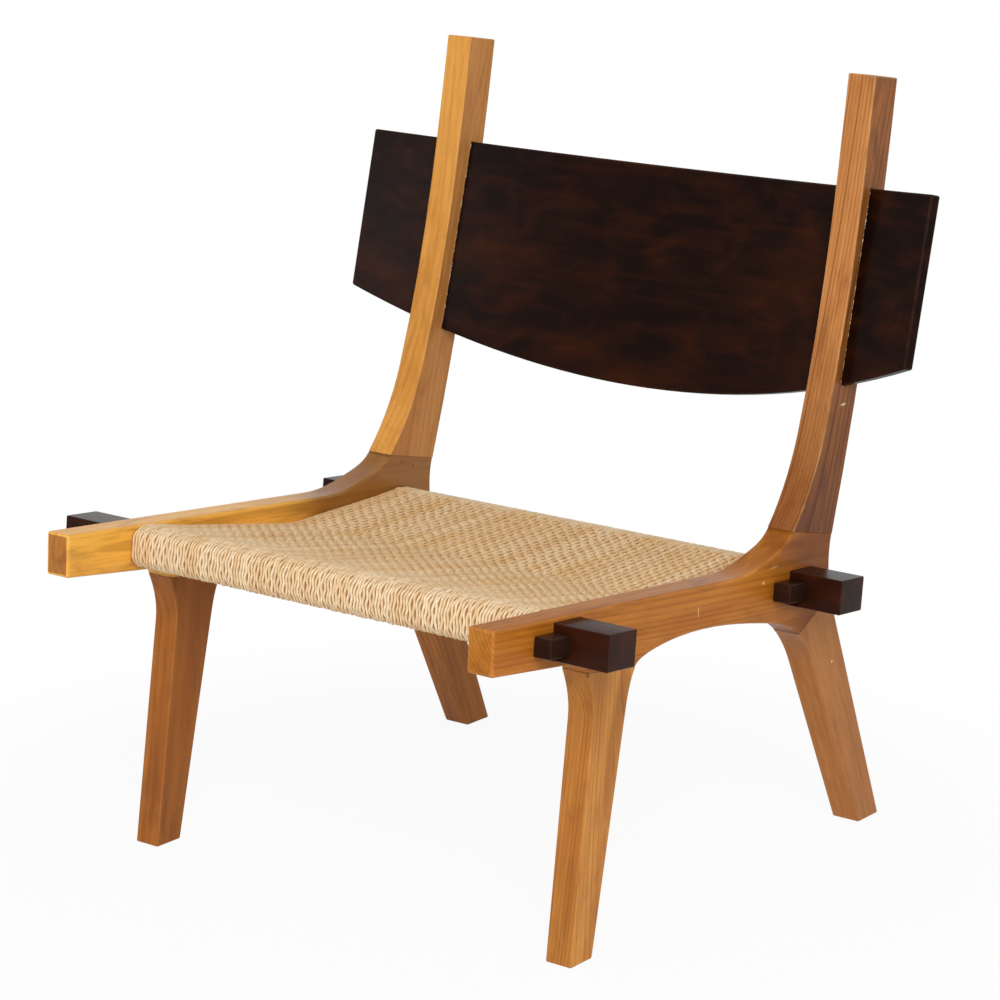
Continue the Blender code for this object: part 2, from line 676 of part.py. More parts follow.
def band_outline(path, thickness):
    # both sides of a band along a path
    outer = []
    inner = []
    for i, point in enumerate(path):
        arriving = (point - path[max(i - 1, 0)]).normalized()
        leaving = (path[min(i + 1, len(path) - 1)] - point).normalized()
        along = (arriving + leaving).normalized()
        square = max(along.dot(arriving), along.dot(leaving))
        across = Vector((-along.y, along.x)) * thickness / 2 / square
        outer.append(Anchor(point + across))
        inner.append(Anchor(point - across))
    return outer + inner[::-1]


seat_path = front_wrap + crease_arc(front_wrap[-1], rear_wrap[0]) + rear_wrap
seat = outline_mesh("woven_seat", band_outline(seat_path, SEAT_THICKNESS), seat_half, 1)
seat.transform(TO_SIDE)
add_object("woven_seat", seat, CORD)
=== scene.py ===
import math
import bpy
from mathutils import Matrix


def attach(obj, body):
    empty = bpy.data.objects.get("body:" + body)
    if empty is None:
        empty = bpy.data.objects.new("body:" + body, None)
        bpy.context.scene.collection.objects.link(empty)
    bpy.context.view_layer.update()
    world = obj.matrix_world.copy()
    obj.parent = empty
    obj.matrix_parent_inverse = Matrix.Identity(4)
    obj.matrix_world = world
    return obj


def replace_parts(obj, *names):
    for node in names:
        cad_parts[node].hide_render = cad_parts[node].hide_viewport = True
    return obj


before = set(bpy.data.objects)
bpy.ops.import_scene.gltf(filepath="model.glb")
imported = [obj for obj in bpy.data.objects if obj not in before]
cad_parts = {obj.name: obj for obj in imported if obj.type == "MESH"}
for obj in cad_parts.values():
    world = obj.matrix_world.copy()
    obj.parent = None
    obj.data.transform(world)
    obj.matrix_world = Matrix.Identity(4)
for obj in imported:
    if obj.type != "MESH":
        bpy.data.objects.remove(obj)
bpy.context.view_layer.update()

from types import SimpleNamespace

import bmesh
import bpy
import numpy as np
from mathutils import Matrix, Vector

scene = bpy.context.scene
scene.view_settings.view_transform = "Standard"
print("frame loaded,", len(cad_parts), "nodes")


# camera, at the photograph's angle
photoCamera = {
    "place": (2.16617, -2.92595, 1.32584),
    "azimuth": 36.2047,   # degrees round from straight ahead
    "down": 13.9879,
    "roll": 1.0838,
    "lens": 116.98,
    "sensor": 36,
    "farthest": 60,
}


def placeCamera(s):
    azimuth, down, roll = (math.radians(s[key]) for key in ("azimuth", "down", "roll"))
    ahead = Vector((-math.sin(azimuth) * math.cos(down), math.cos(azimuth) * math.cos(down), -math.sin(down)))
    level = Vector((math.cos(azimuth), math.sin(azimuth), 0))
    upright = level.cross(ahead)
    side = level * math.cos(roll) + upright * math.sin(roll)
    top = upright * math.cos(roll) - level * math.sin(roll)
    data = bpy.data.cameras.new("photoCamera")
    data.lens = s["lens"]
    data.sensor_width = s["sensor"]
    data.clip_end = s["farthest"]
    camera = bpy.data.objects.new("photoCamera", data)
    scene.collection.objects.link(camera)
    turned = Matrix((side, top, -ahead)).transposed().to_4x4()
    camera.matrix_world = Matrix.Translation(s["place"]) @ turned
    scene.camera = camera


placeCamera(photoCamera)
print("camera placed")


# node helpers
def addNode(tree, kind, values=None, **properties):
    # makes a node, sets its properties, and links or fills each named input
    made = tree.nodes.new(kind)
    for key, value in properties.items():
        setattr(made, key, value)
    for key, value in (values or {}).items():
        if isinstance(value, bpy.types.NodeSocket):
            tree.links.new(value, made.inputs[key])
        else:
            made.inputs[key].default_value = value
    return made


def calc(tree, operation, first, second=0.0, third=0.0, clamp=False):
    return addNode(tree, "ShaderNodeMath", {0: first, 1: second, 2: third}, operation=operation,
                   use_clamp=clamp).outputs[0]


def vectorCalc(tree, operation, first, second=(0, 0, 0)):
    return addNode(tree, "ShaderNodeVectorMath", {0: first, 1: second}, operation=operation).outputs


def ease(tree, value, low, high, fromValue=0.0, toValue=1.0):
    # smooth step between two levels
    return addNode(tree, "ShaderNodeMapRange", {"Value": value, "From Min": low, "From Max": high,
                                                "To Min": fromValue, "To Max": toValue},
                   interpolation_type="SMOOTHSTEP").outputs["Result"]


def mixed(tree, share, first, second, blend="MIX"):
    # sockets of the mixing node by number: 0 share, 6 and 7 the two colours, 2 the result
    return addNode(tree, "ShaderNodeMix", {0: share, 6: first, 7: second}, data_type="RGBA",
                   blend_type=blend).outputs[2]


def stretched(tree, point, across, along):
    # a point with its two cross directions and its long direction scaled apart
    return vectorCalc(tree, "MULTIPLY", point, (across, across, along))[0]


def cloud(tree, point, detail=2.0, rough=0.5, twist=0.0):
    return addNode(tree, "ShaderNodeTexNoise", {"Vector": point, "Scale": 1.0, "Detail": detail,
                                                "Roughness": rough, "Distortion": twist}).outputs["Fac"]


def grainCloud(tree, moved, c):
    # a cloud in the grain, from its own settings
    return cloud(tree, moved(*c["scale"]), c.get("detail", 2.0), c.get("rough", 0.5), c.get("twist", 0.0))


def patches(tree, moved, c):
    # a cloud that sets in between two levels
    return ease(tree, grainCloud(tree, moved, c), *c["levels"])


def newGroup(name, values, colours, results):
    # a group that takes a Point, some values and some colours, and gives a Colour and some values
    group = bpy.data.node_groups.new(name, "ShaderNodeTree")
    for way, kind, labels in (("INPUT", "Vector", ("Point",)), ("INPUT", "Float", values),
                              ("INPUT", "Color", colours), ("OUTPUT", "Color", ("Colour",)),
                              ("OUTPUT", "Float", results)):
        for label in labels:
            group.interface.new_socket(name=label, in_out=way, socket_type="NodeSocket" + kind)
    return group, group.nodes.new("NodeGroupInput").outputs, group.nodes.new("NodeGroupOutput").inputs


def rgb(red, green, blue):
    # a colour as read off a screen, made linear
    parts = np.array((red, green, blue)) / 255.0
    return (*np.where(parts <= 0.04045, parts / 12.92, ((parts + 0.055) / 1.055) ** 2.4), 1.0)


def seeded(tree, given):
    # a way to scale the group's point and shift it by the group's seed
    seed = given["Seed"]
    shift = addNode(tree, "ShaderNodeCombineXYZ", {"X": seed, "Y": seed, "Z": seed}).outputs[0]
    return lambda across, along: vectorCalc(tree, "ADD", stretched(tree, given["Point"], across, along), shift)[0]


# Teak figure: growth rings are cylinders round the pith, worn wavy by a slow cloud, so a plank
# cut near the pith shows arches and one cut across it shows stripes. Fibres and pores run along.
# The shade darkens the wood from a place along the grain towards its lower end.
# A cloud's scale is per metre, across and along the grain; it sets in between its two levels.
teakGrain = {
    "slow": {"scale": (9, 1.7), "detail": 1.0},
    "quick": {"scale": (45, 6)},
    "quickShare": 0.18,
    "lineFull": 0.94,              # share of a ring's gap where its line is darkest
    "lineFall": (0.955, 1.0),
    "lineLuck": (0.78, 0.16),      # each ring's strength: its chance times the first, plus the second
    "fibre": {"scale": (420, 5), "detail": 3.0, "rough": 0.6},
    "fibreTone": (0.35, 0.75, 0.0, 0.3),
    "pore": {"scale": (1300, 34), "detail": 1.0, "levels": (0.62, 0.75)},
    "poreTone": 0.28,
    "band": {"scale": (70, 1.3), "levels": (0.36, 0.66)},
    "patch": {"scale": (14, 3.2), "levels": (0.38, 0.66)},
    "toneShares": (0.15, 0.42, 0.5),   # of the place in the ring, the band and the patch
    "smoke": {"scale": (30, 7), "detail": 3.0, "rough": 0.6, "twist": 0.8, "levels": (0.48, 0.68)},
    "smokeShare": 0.34,
    "gleam": {"scale": (48, 11), "detail": 3.0, "rough": 0.6, "twist": 0.5, "levels": (0.47, 0.66)},
    "gleamShare": 0.5,
    "shadeEdge": {"scale": (28, 5)},
    "shadeRagged": 0.22,           # metres by which the shade's end wanders
    "rough": (0.28, 0.14, 0.15),   # least, then added by fibres and by pores
    "relief": (0.35, 0.6, 0.3),    # raised by fibres, sunk by pores and by lines
}


def makeTeakFigure(s):
    t, given, result = newGroup(
        "teakFigure", ("Ring Gap", "Wander", "Line Depth", "Line Rise", "Seed", "Shade From", "Shade To",
                       "Shade Share"), ("Light", "Middle", "Dark"), ("Roughness", "Height"))
    moved = seeded(t, given)
    axes = addNode(t, "ShaderNodeSeparateXYZ", {"Vector": given["Point"]}).outputs
    flat = calc(t, "SQRT", calc(t, "ADD", calc(t, "MULTIPLY", axes["X"], axes["X"]),
                                calc(t, "MULTIPLY", axes["Y"], axes["Y"])))
    slow, quick, ragged = (calc(t, "SUBTRACT", grainCloud(t, moved, s[key]), 0.5)
                           for key in ("slow", "quick", "shadeEdge"))
    wave = calc(t, "MULTIPLY", calc(t, "MULTIPLY_ADD", quick, s["quickShare"], slow),
                calc(t, "MULTIPLY", given["Wander"], 2.0))
    ring = calc(t, "DIVIDE", calc(t, "ADD", flat, wave), given["Ring Gap"])
    number = calc(t, "FLOOR", ring)
    place = calc(t, "FRACT", ring)
    luck = addNode(t, "ShaderNodeTexWhiteNoise", {"W": calc(t, "ADD", number, given["Seed"])},
                   noise_dimensions="1D").outputs["Value"]
    rise = ease(t, place, given["Line Rise"], s["lineFull"])
    fall = ease(t, place, *s["lineFall"], 1.0, 0.0)
    strength = calc(t, "MULTIPLY_ADD", luck, *s["lineLuck"])
    line = calc(t, "MULTIPLY", calc(t, "MULTIPLY", rise, fall),
                calc(t, "MULTIPLY", strength, given["Line Depth"]))
    fibre = grainCloud(t, moved, s["fibre"])
    pore, band, patch, smoke, gleam = (patches(t, moved, s[key])
                                       for key in ("pore", "band", "patch", "smoke", "gleam"))
    byPlace, byBand, byPatch = s["toneShares"]
    toneShare = calc(t, "ADD", calc(t, "MULTIPLY", place, byPlace),
                     calc(t, "MULTIPLY_ADD", band, byBand, calc(t, "MULTIPLY", patch, byPatch)), clamp=True)
    tone = mixed(t, toneShare, given["Light"], given["Middle"])
    tone = mixed(t, calc(t, "MULTIPLY", smoke, s["smokeShare"]), tone, given["Dark"])
    tone = mixed(t, calc(t, "MULTIPLY", gleam, s["gleamShare"]), tone, given["Light"])
    tone = mixed(t, line, tone, given["Dark"])
    tone = mixed(t, ease(t, fibre, *s["fibreTone"]), tone, mixed(t, 0.5, given["Middle"], given["Dark"]))
    tone = mixed(t, calc(t, "MULTIPLY", pore, s["poreTone"]), tone, given["Dark"])
    edge = calc(t, "MULTIPLY_ADD", ragged, s["shadeRagged"], axes["Z"])
    low = ease(t, edge, given["Shade From"], given["Shade To"], given["Shade Share"], 0.0)
    t.links.new(mixed(t, low, tone, given["Dark"]), result["Colour"])
    least, byFibre, byPore = s["rough"]
    t.links.new(calc(t, "ADD", calc(t, "MULTIPLY_ADD", fibre, byFibre, least), calc(t, "MULTIPLY", pore, byPore)),
                result["Roughness"])
    raised, poreSunk, lineSunk = s["relief"]
    sunk = calc(t, "ADD", calc(t, "MULTIPLY", pore, poreSunk), calc(t, "MULTIPLY", line, lineSunk))
    t.links.new(calc(t, "SUBTRACT", calc(t, "MULTIPLY", fibre, raised), sunk), result["Height"])
    return t


# Dark stain: nearly black, with soft warm clouds, some drawn out along the grain, and a fine streak.
stainClouds = {
    "large": {"scale": (9, 6), "twist": 0.4, "levels": (0.44, 0.72)},
    "small": {"scale": (26, 13), "detail": 3.0, "rough": 0.55, "twist": 0.8, "levels": (0.42, 0.76)},
    "bands": {"scale": (75, 4), "twist": 0.3, "levels": (0.45, 0.8)},
    "shares": (0.45, 0.5, 0.3),    # of the three clouds above in the warm tone
    "streak": {"scale": (600, 11)},
    "streakTone": (0.4, 0.8, 0.0, 0.3),
    "rough": (0.14, 0.22),         # the streak times the first, plus the second
    "relief": (0.5, 0.2),          # raised by the streak and by the small cloud
}


def makeDarkStain(s):
    t, given, result = newGroup("darkStain", ("Seed", "Glow"), ("Deep", "Warm"), ("Roughness", "Height"))
    moved = seeded(t, given)
    large, small, bands = (patches(t, moved, s[key]) for key in ("large", "small", "bands"))
    streak = grainCloud(t, moved, s["streak"])
    byLarge, bySmall, byBands = s["shares"]
    lit = calc(t, "MULTIPLY_ADD", large, byLarge, calc(t, "MULTIPLY", small, bySmall))
    share = calc(t, "MULTIPLY", calc(t, "MULTIPLY_ADD", bands, byBands, lit), given["Glow"], clamp=True)
    tone = mixed(t, share, given["Deep"], given["Warm"])
    tone = mixed(t, ease(t, streak, *s["streakTone"]), tone, given["Deep"])
    t.links.new(tone, result["Colour"])
    t.links.new(calc(t, "MULTIPLY_ADD", streak, *s["rough"]), result["Roughness"])
    byStreak, bySmall = s["relief"]
    t.links.new(calc(t, "MULTIPLY_ADD", streak, byStreak, calc(t, "MULTIPLY", small, bySmall)), result["Height"])
    return t


# Rubbed edges: where the edge mask is set, a cloud lets a paler tone through. It stands for worn edges and also paints
# a highlight along them.
edgeWearAndHighlight = {"scale": 60, "detail": 3.0, "broken": (0.35, 0.65, 0.35, 1.0)}


def makeEdgeRubAndHighlight(s):
    t, given, result = newGroup("edgeRubAndHighlight", ("Mask", "Amount"), ("Colour", "Pale"), ())
    wear = cloud(t, stretched(t, given["Point"], s["scale"], s["scale"]), s["detail"])
    share = calc(t, "MULTIPLY", calc(t, "MULTIPLY", given["Mask"], ease(t, wear, *s["broken"])),
                 given["Amount"], clamp=True)
    t.links.new(mixed(t, share, given["Colour"], given["Pale"]), result["Colour"])
    return t


teakFigure = makeTeakFigure(teakGrain)
darkStain = makeDarkStain(stainClouds)
edgeRubAndHighlight = makeEdgeRubAndHighlight(edgeWearAndHighlight)


def newMaterial(name, specular):
    material = bpy.data.materials.new(name)
    material.use_nodes = True
    shader = material.node_tree.nodes["Principled BSDF"]
    shader.inputs["Specular IOR Level"].default_value = specular
    return material, material.node_tree, shader


def objectPoint(tree):
    return addNode(tree, "ShaderNodeTexCoord").outputs["Object"]


def grainPoint(tree, pith, turn):
    # object coordinates turned so that the long direction is Z and the pith is the origin
    return addNode(tree, "ShaderNodeMapping", {"Vector": objectPoint(tree), "Location": pith,
                                               "Rotation": [math.radians(a) for a in turn]},
                   vector_type="TEXTURE").outputs[0]


def surfaceMask(tree, name):
    return addNode(tree, "ShaderNodeAttribute", attribute_name=name).outputs["Fac"]


def finishSurface(tree, shader, colour, roughness, height, bump, deep=0.0004):
    tree.links.new(colour, shader.inputs["Base Color"])
    tree.links.new(roughness, shader.inputs["Roughness"])
    relief = addNode(tree, "ShaderNodeBump", {"Height": height, "Strength": bump, "Distance": deep})
    tree.links.new(relief.outputs[0], shader.inputs["Normal"])


# paler eased edges: wear, and a painted highlight
def rubAndHighlightEdges(tree, point, colour, s):
    return addNode(tree, "ShaderNodeGroup", {
        "Point": point, "Mask": surfaceMask(tree, "edgeMask"), "Colour": colour,
        "Pale": rgb(*s["rubAndHighlightTone"]), "Amount": s["rubAndHighlight"]}, node_tree=edgeRubAndHighlight).outputs["Colour"]


markRim = {"scale": 700, "ragged": 0.7, "levels": (0.6, 1.25)}


def addMark(tree, colour, mark):
    # a small spot in the wood: full at its middle, gone at its ragged rim
    point = objectPoint(tree)
    offset = vectorCalc(tree, "DIVIDE", vectorCalc(tree, "SUBTRACT", point, mark["at"])[0], mark["size"])[0]
    rim = cloud(tree, stretched(tree, point, markRim["scale"], markRim["scale"]))
    away = calc(tree, "MULTIPLY_ADD", rim, markRim["ragged"], vectorCalc(tree, "LENGTH", offset)["Value"])
    return mixed(tree, ease(tree, away, *markRim["levels"], mark["share"], 0.0), colour, rgb(*mark["colour"]))


# what a teak piece has unless it says otherwise; this shade lies beyond every piece
teakUsual = {
    "gloss": 0.13, "rise": 0.35, "shade": (-9, -8, 0), "rubAndHighlight": 0.07, "rubAndHighlightTone": (238, 196, 140), "bump": 0.22,
    "marks": ()}
# side and out tints are painted light and shade by the way a face is turned, the end tint a darker front
faceTints = (("sideMask", "sideToneAndLight"), ("outMask", "outPaintedShade"), ("endMask", "endTint"))


def makeTeak(name, own):
    s = {**teakUsual, **own}
    material, tree, shader = newMaterial(name, s["gloss"])
    point = grainPoint(tree, s["pith"], s["turn"])
    shadeFrom, shadeTo, shadeShare = s["shade"]
    figure = addNode(tree, "ShaderNodeGroup", {
        "Point": point, "Ring Gap": s["ringGap"], "Wander": s["wander"], "Line Depth": s["lines"],
        "Line Rise": s["rise"], "Seed": s["seed"], "Shade From": shadeFrom, "Shade To": shadeTo,
        "Shade Share": shadeShare, "Light": rgb(*s["light"]), "Middle": rgb(*s["middle"]),
        "Dark": rgb(*s["dark"])}, node_tree=teakFigure).outputs
    colour = figure["Colour"]
    # painted light and shade: faces turned one way take a darker or brighter tint
    for mask, key in faceTints:
        if key in s:
            colour = mixed(tree, surfaceMask(tree, mask), colour, rgb(*s[key]), "MULTIPLY")
    for mark in s["marks"]:
        colour = addMark(tree, colour, mark)
    finishSurface(tree, shader, rubAndHighlightEdges(tree, point, colour, s), figure["Roughness"], figure["Height"], s["bump"])
    return material


def makeDark(name, s):
    material, tree, shader = newMaterial(name, s["shine"])
    point = grainPoint(tree, (0, 0, 0), s["turn"])
    figure = addNode(tree, "ShaderNodeGroup", {
        "Point": point, "Seed": s["seed"], "Deep": rgb(*s["deep"]), "Warm": rgb(*s["warm"]),
        "Glow": s["glow"]}, node_tree=darkStain).outputs
    colour = rubAndHighlightEdges(tree, point, figure["Colour"], s)
    finishSurface(tree, shader, colour, figure["Roughness"], figure["Height"], s["bump"])
    return material


def makeSpeckled(name, s):
    # two tones parted by a fine cloud
    material, tree, shader = newMaterial(name, s["specular"])
    speck = cloud(tree, stretched(tree, objectPoint(tree), s["scale"], s["scale"]), s["detail"], s["rough"])
    colour = mixed(tree, ease(tree, speck, *s["levels"]), rgb(*s["pale"]), rgb(*s["dark"]))
    finishSurface(tree, shader, colour, calc(tree, "MULTIPLY_ADD", speck, *s["dull"]), speck, s["bump"], s["deep"])
    return material


# A dressed piece is a merged copy of its solid, with coplanar triangles joined. The edge mask is 1
# on faces narrower than an eased edge: a face's area over its longest side. The side mask is 1 on
# faces turned to the sitter's left, the out mask on those turned to the right, the end mask on
# faces turned straight to the front.
dressing = {
    "weld": 0.00001,     # metres, below which points are joined
    "flat": 0.3,         # degrees, below which faces are joined
    "eased": 0.0016,
    "sideways": 0.5,     # least part of a face's normal that points the mask's way
    "forward": 0.98,
    "shoulder": 0.9,
    "sharp": 50,         # degrees
    "weight": 80,
}


def readMesh(collection, key, kind, width=1):
    values = np.zeros(len(collection) * width, kind)
    collection.foreach_get(key, values)
    return values.reshape(-1, width) if width > 1 else values


def setMask(mesh, name, values, domain="FACE"):
    mesh.attributes.new(name, "FLOAT", domain).data.foreach_set("value", values.astype(np.float32))


def addPiece(name, mesh, material, body):
    mesh.materials.clear()
    mesh.materials.append(material)
    piece = bpy.data.objects.new(name, mesh)
    scene.collection.objects.link(piece)
    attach(piece, body)
    return piece


def mergedCopy(node):
    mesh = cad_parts[node].data.copy()
    mesh.name = node + "_wood"
    work = bmesh.new()
    work.from_mesh(mesh)
    bmesh.ops.remove_doubles(work, verts=work.verts, dist=dressing["weld"])
    bmesh.ops.dissolve_limit(work, angle_limit=math.radians(dressing["flat"]), verts=work.verts, edges=work.edges)
    work.to_mesh(mesh)
    work.free()
    return mesh


def maskFaces(mesh, facing):
    ends = readMesh(mesh.edges, "vertices", int, 2)
    points = readMesh(mesh.vertices, "co", float, 3)
    lengths = np.linalg.norm(points[ends[:, 0]] - points[ends[:, 1]], axis=1)
    sides = readMesh(mesh.loops, "edge_index", int)
    starts = readMesh(mesh.polygons, "loop_start", int)
    widths = readMesh(mesh.polygons, "area", float) / np.maximum.reduceat(lengths[sides], starts)
    setMask(mesh, "edgeMask", widths < dressing["eased"])
    setMask(mesh, "sideMask", facing[:, 0] > dressing["sideways"])
    setMask(mesh, "outMask", facing[:, 0] < -dressing["sideways"])
    setMask(mesh, "endMask", facing[:, 1] < -dressing["forward"])


def dress(node, body, material, shoulders=None):
    mesh = mergedCopy(node)
    facing = readMesh(mesh.polygons, "normal", float, 3)
    maskFaces(mesh, facing)
    mesh.shade_smooth()
    mesh.set_sharp_from_angle(angle=math.radians(dressing["sharp"]))
    piece = addPiece(node + "_wood", mesh, material, body)
    if shoulders:
        # the tenons' shoulders lie in the rails' inner faces and take their wood
        where = readMesh(mesh.polygons, "center", float, 3)[:, 0]
        onFace = (np.abs(facing[:, 0]) > dressing["shoulder"]) & (np.abs(where) < shoulders["inside"])
        for rail in shoulders["rails"]:
            mesh.materials.append(rail)
        chosen = np.where(onFace, np.where(where > 0, 1, 2), 0)
        mesh.polygons.foreach_set("material_index", chosen.astype(np.int32))
    even = piece.modifiers.new("evenShading", "WEIGHTED_NORMAL")
    even.keep_sharp = True
    even.weight = dressing["weight"]
    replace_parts(piece, node)


# teak side frames: pith is where the heart of the log runs, turn leans the grain with the piece,
# shade is (from, to, share) along the grain, marks are small spots on the outer faces; a tint
# multiplies the tone of the faces under its mask, and over 255 it brightens them. The side tint is
# partly the wood's own tone and partly painted light and shade, as light falls on faces turned that
# way; the out tint is painted shade on faces turned to the right; the end tint darkens faces turned
# straight to the front.
paleFleck = {"size": (0.02, 0.0032, 0.0026), "colour": (240, 212, 170), "share": 0.85}
darkSpot = {"size": (0.02, 0.0045, 0.0030), "colour": (80, 44, 22), "share": 0.6}
darkNick = {"size": (0.02, 0.0016, 0.0045), "colour": (58, 38, 26), "share": 0.8}
teakPieces = {
    "left_back_post": {
        "light": (206, 140, 76), "middle": (170, 102, 52), "dark": (98, 42, 3), "sideToneAndLight": (206, 190, 164),
        "pith": (0.190, 0.245, 0.64), "turn": (-12.5, 1.2, 0), "ringGap": 0.0046, "wander": 0.004,
        "lines": 0.95, "rise": 0.62, "seed": 3.1, "rubAndHighlight": 0.22, "shade": (-0.26, 0.08, 0.55),
        "marks": [
            {**paleFleck, "at": (0.31, 0.2780, 0.5306), "size": (0.02, 0.0095, 0.0022)},
            {**darkSpot, "at": (0.31, 0.330, 0.825), "size": (0.025, 0.008, 0.034), "share": 0.55},
            {**darkSpot, "at": (0.31, 0.238, 0.447), "size": (0.025, 0.011, 0.032), "share": 0.5}]},
    "right_back_post": {
        "light": (234, 168, 82), "middle": (216, 147, 64), "dark": (140, 84, 36), "sideToneAndLight": (224, 218, 246),
        "outPaintedShade": (228, 214, 206),
        "pith": (-0.240, 0.24, 0.64), "turn": (-12.5, 0.8, 0), "ringGap": 0.009, "wander": 0.005,
        "lines": 0.2, "seed": 7.7,
        "marks": [{**darkNick, "at": (-0.2775, 0.3207, 0.7250)}, {**darkNick, "at": (-0.2775, 0.3170, 0.7077)}]},
    "left_seat_rail": {
        "light": (204, 130, 46), "middle": (180, 104, 28), "dark": (100, 42, 2), "endTint": (240, 244, 248),
        "pith": (0.375, 0.0, 0.405), "turn": (85, 0, 0.5), "ringGap": 0.0046, "wander": 0.006,
        "lines": 0.36, "seed": 12.4, "shade": (-0.25, -0.11, 0.66),
        "marks": [
            {**paleFleck, "at": (0.311, 0.1156, 0.3504)}, {**paleFleck, "at": (0.311, 0.1107, 0.4192)},
            {**paleFleck, "at": (0.311, -0.0188, 0.3458), "size": (0.02, 0.001, 0.010)},
            {**paleFleck, "at": (0.311, 0.1371, 0.3644), "size": (0.02, 0.014, 0.0018), "share": 0.3}]},
    "right_seat_rail": {
        # painted light: this rail's tones are raised to stand for the strong light on its inner face, and its out tint
        # takes the outer face back down
        "light": (255, 191, 82), "middle": (246, 172, 64), "dark": (112, 58, 16), "endTint": (188, 168, 172),
        "outPaintedShade": (212, 190, 184),
        "pith": (-0.250, 0.0, 0.350), "turn": (85, 0, 0.5), "ringGap": 0.008, "wander": 0.006,
        "lines": 0.3, "seed": 18.9, "shade": (-0.06, 0.05, 0.8), "gloss": 0.26,
        "marks": [{**darkSpot, "at": (-0.2775, 0.2006, 0.3845)}, {**darkSpot, "at": (-0.2775, 0.2232, 0.3753)}]},
    "left_front_leg": {
        "light": (200, 134, 62), "middle": (177, 109, 46), "dark": (116, 64, 22), "sideToneAndLight": (284, 294, 298),
        "pith": (0.235, -0.165, 0.20), "turn": (-8.0, 2.0, 0), "ringGap": 0.0036, "wander": 0.003,
        "lines": 0.5, "rise": 0.6, "seed": 23.3,
        "marks": [
            {"at": (0.311, -0.2290, 0.3218), "size": (0.004, 0.0035, 0.0045), "colour": (100, 56, 26), "share": 0.75}]},
    "right_front_leg": {
        "light": (184, 112, 46), "middle": (160, 92, 36), "dark": (98, 54, 22), "sideToneAndLight": (240, 244, 250),
        "pith": (-0.330, -0.20, 0.20), "turn": (-8.0, 1.0, 0), "ringGap": 0.008, "wander": 0.004,
        "lines": 0.3, "seed": 29.5},
    "left_rear_leg": {
        "light": (198, 130, 66), "middle": (172, 108, 54), "dark": (108, 62, 30),
        "pith": (0.202, 0.30, 0.15), "turn": (24, 1.4, 0), "ringGap": 0.009, "wander": 0.006,
        "lines": 0.18, "seed": 34.2,
        "marks": [
            {**paleFleck, "at": (0.311, 0.2738, 0.2215)},
            {**darkSpot, "at": (0.311, 0.2046, 0.2388), "size": (0.02, 0.010, 0.013), "colour": (95, 58, 34)}]},
    "right_rear_leg": {
        "light": (200, 126, 52), "middle": (174, 104, 42), "dark": (104, 58, 26),
        "pith": (-0.335, 0.30, 0.15), "turn": (24, 1.0, 0), "ringGap": 0.008, "wander": 0.004,
        "lines": 0.3, "seed": 41.6},
}
teakWood = {node: makeTeak(node + "_teak", settings) for node, settings in teakPieces.items()}
for node, material in teakWood.items():
    dress(node, "chair", material)
print("teak frames dressed,", len(teakPieces), "pieces")


# dark stretchers, keys and board; a key rides on its own body
darkUsual = {
    "deep": (34, 15, 8), "warm": (86, 36, 14), "glow": 0.6, "rubAndHighlight": 0.15, "rubAndHighlightTone": (92, 62, 46), "shine": 0.075,
    "bump": 0.05, "turn": (0, 90, 0), "body": "chair"}
keyTones = {"deep": (38, 23, 17), "warm": (82, 44, 26), "glow": 0.4, "turn": (85, 0, 0)}
keySeeds = {"left_front_key": 8.1, "right_front_key": 9.7, "left_rear_key": 11.3, "right_rear_key": 13.9}
darkPieces = {
    "front_stretcher": {"seed": 2.2},
    "rear_stretcher": {"seed": 5.4},
    **{node: {**keyTones, "seed": seed, "body": node} for node, seed in keySeeds.items()},
    "backrest_board": {"seed": 17.2, "shine": 0.045, "deep": (20, 7, 4), "warm": (70, 31, 9), "bump": 0.02},
}
shoulderWood = {"inside": 0.3, "rails": (teakWood["left_seat_rail"], teakWood["right_seat_rail"])}
for node, own in darkPieces.items():
    settings = {**darkUsual, **own}
    dress(node, settings["body"], makeDark(node + "_stain", settings),
          shoulderWood if "stretcher" in node else None)
print("dark wood dressed,", len(darkPieces), "pieces")


# dowels stay as their solids, with bare pale wood
dowelWood = {
    "light": (226, 196, 150), "middle": (205, 170, 120), "dark": (150, 110, 70), "rubAndHighlight": 0.0,
    "pith": (0, 0, 0), "turn": (10, 0, 0), "ringGap": 0.003, "wander": 0.004, "lines": 0.3, "seed": 50.0}


def dressDowels(s):
    material = makeTeak("dowel_bare", s)
    found = [item for name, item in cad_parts.items() if "dowel" in name]
    for item in found:
        item.data.materials.clear()
        item.data.materials.append(material)
    print("dowels dressed,", len(found))


dressDowels(dowelWood)


# Tubes: an ellipse carried along each line, square to it, closed at both ends. The UV map holds
# the way round the tube and the distance along it.
alongX = np.array((1.0, 0, 0))


def tubeFaces(count, rings, sides):
    # corners of the walls' quads and of the end caps, and where each face starts among them
    first = (np.arange(count)[:, None, None] * rings + np.arange(rings - 1)[None, :, None]) * sides
    near = np.arange(sides)[None, None, :]
    far = (near + 1) % sides
    quads = np.stack(np.broadcast_arrays(first + near, first + far, first + sides + far, first + sides + near),
                     axis=-1).reshape(-1, 4)
    starts = np.arange(count)[:, None] * rings * sides + np.arange(sides)[None, ::-1]
    ends = (np.arange(count)[:, None] * rings + rings - 1) * sides + np.arange(sides)[None, :]
    corners = np.concatenate((quads.ravel(), starts.ravel(), ends.ravel()))
    capStarts = quads.size + np.arange(2 * count) * sides
    return corners, np.concatenate((np.arange(len(quads)) * 4, capStarts))


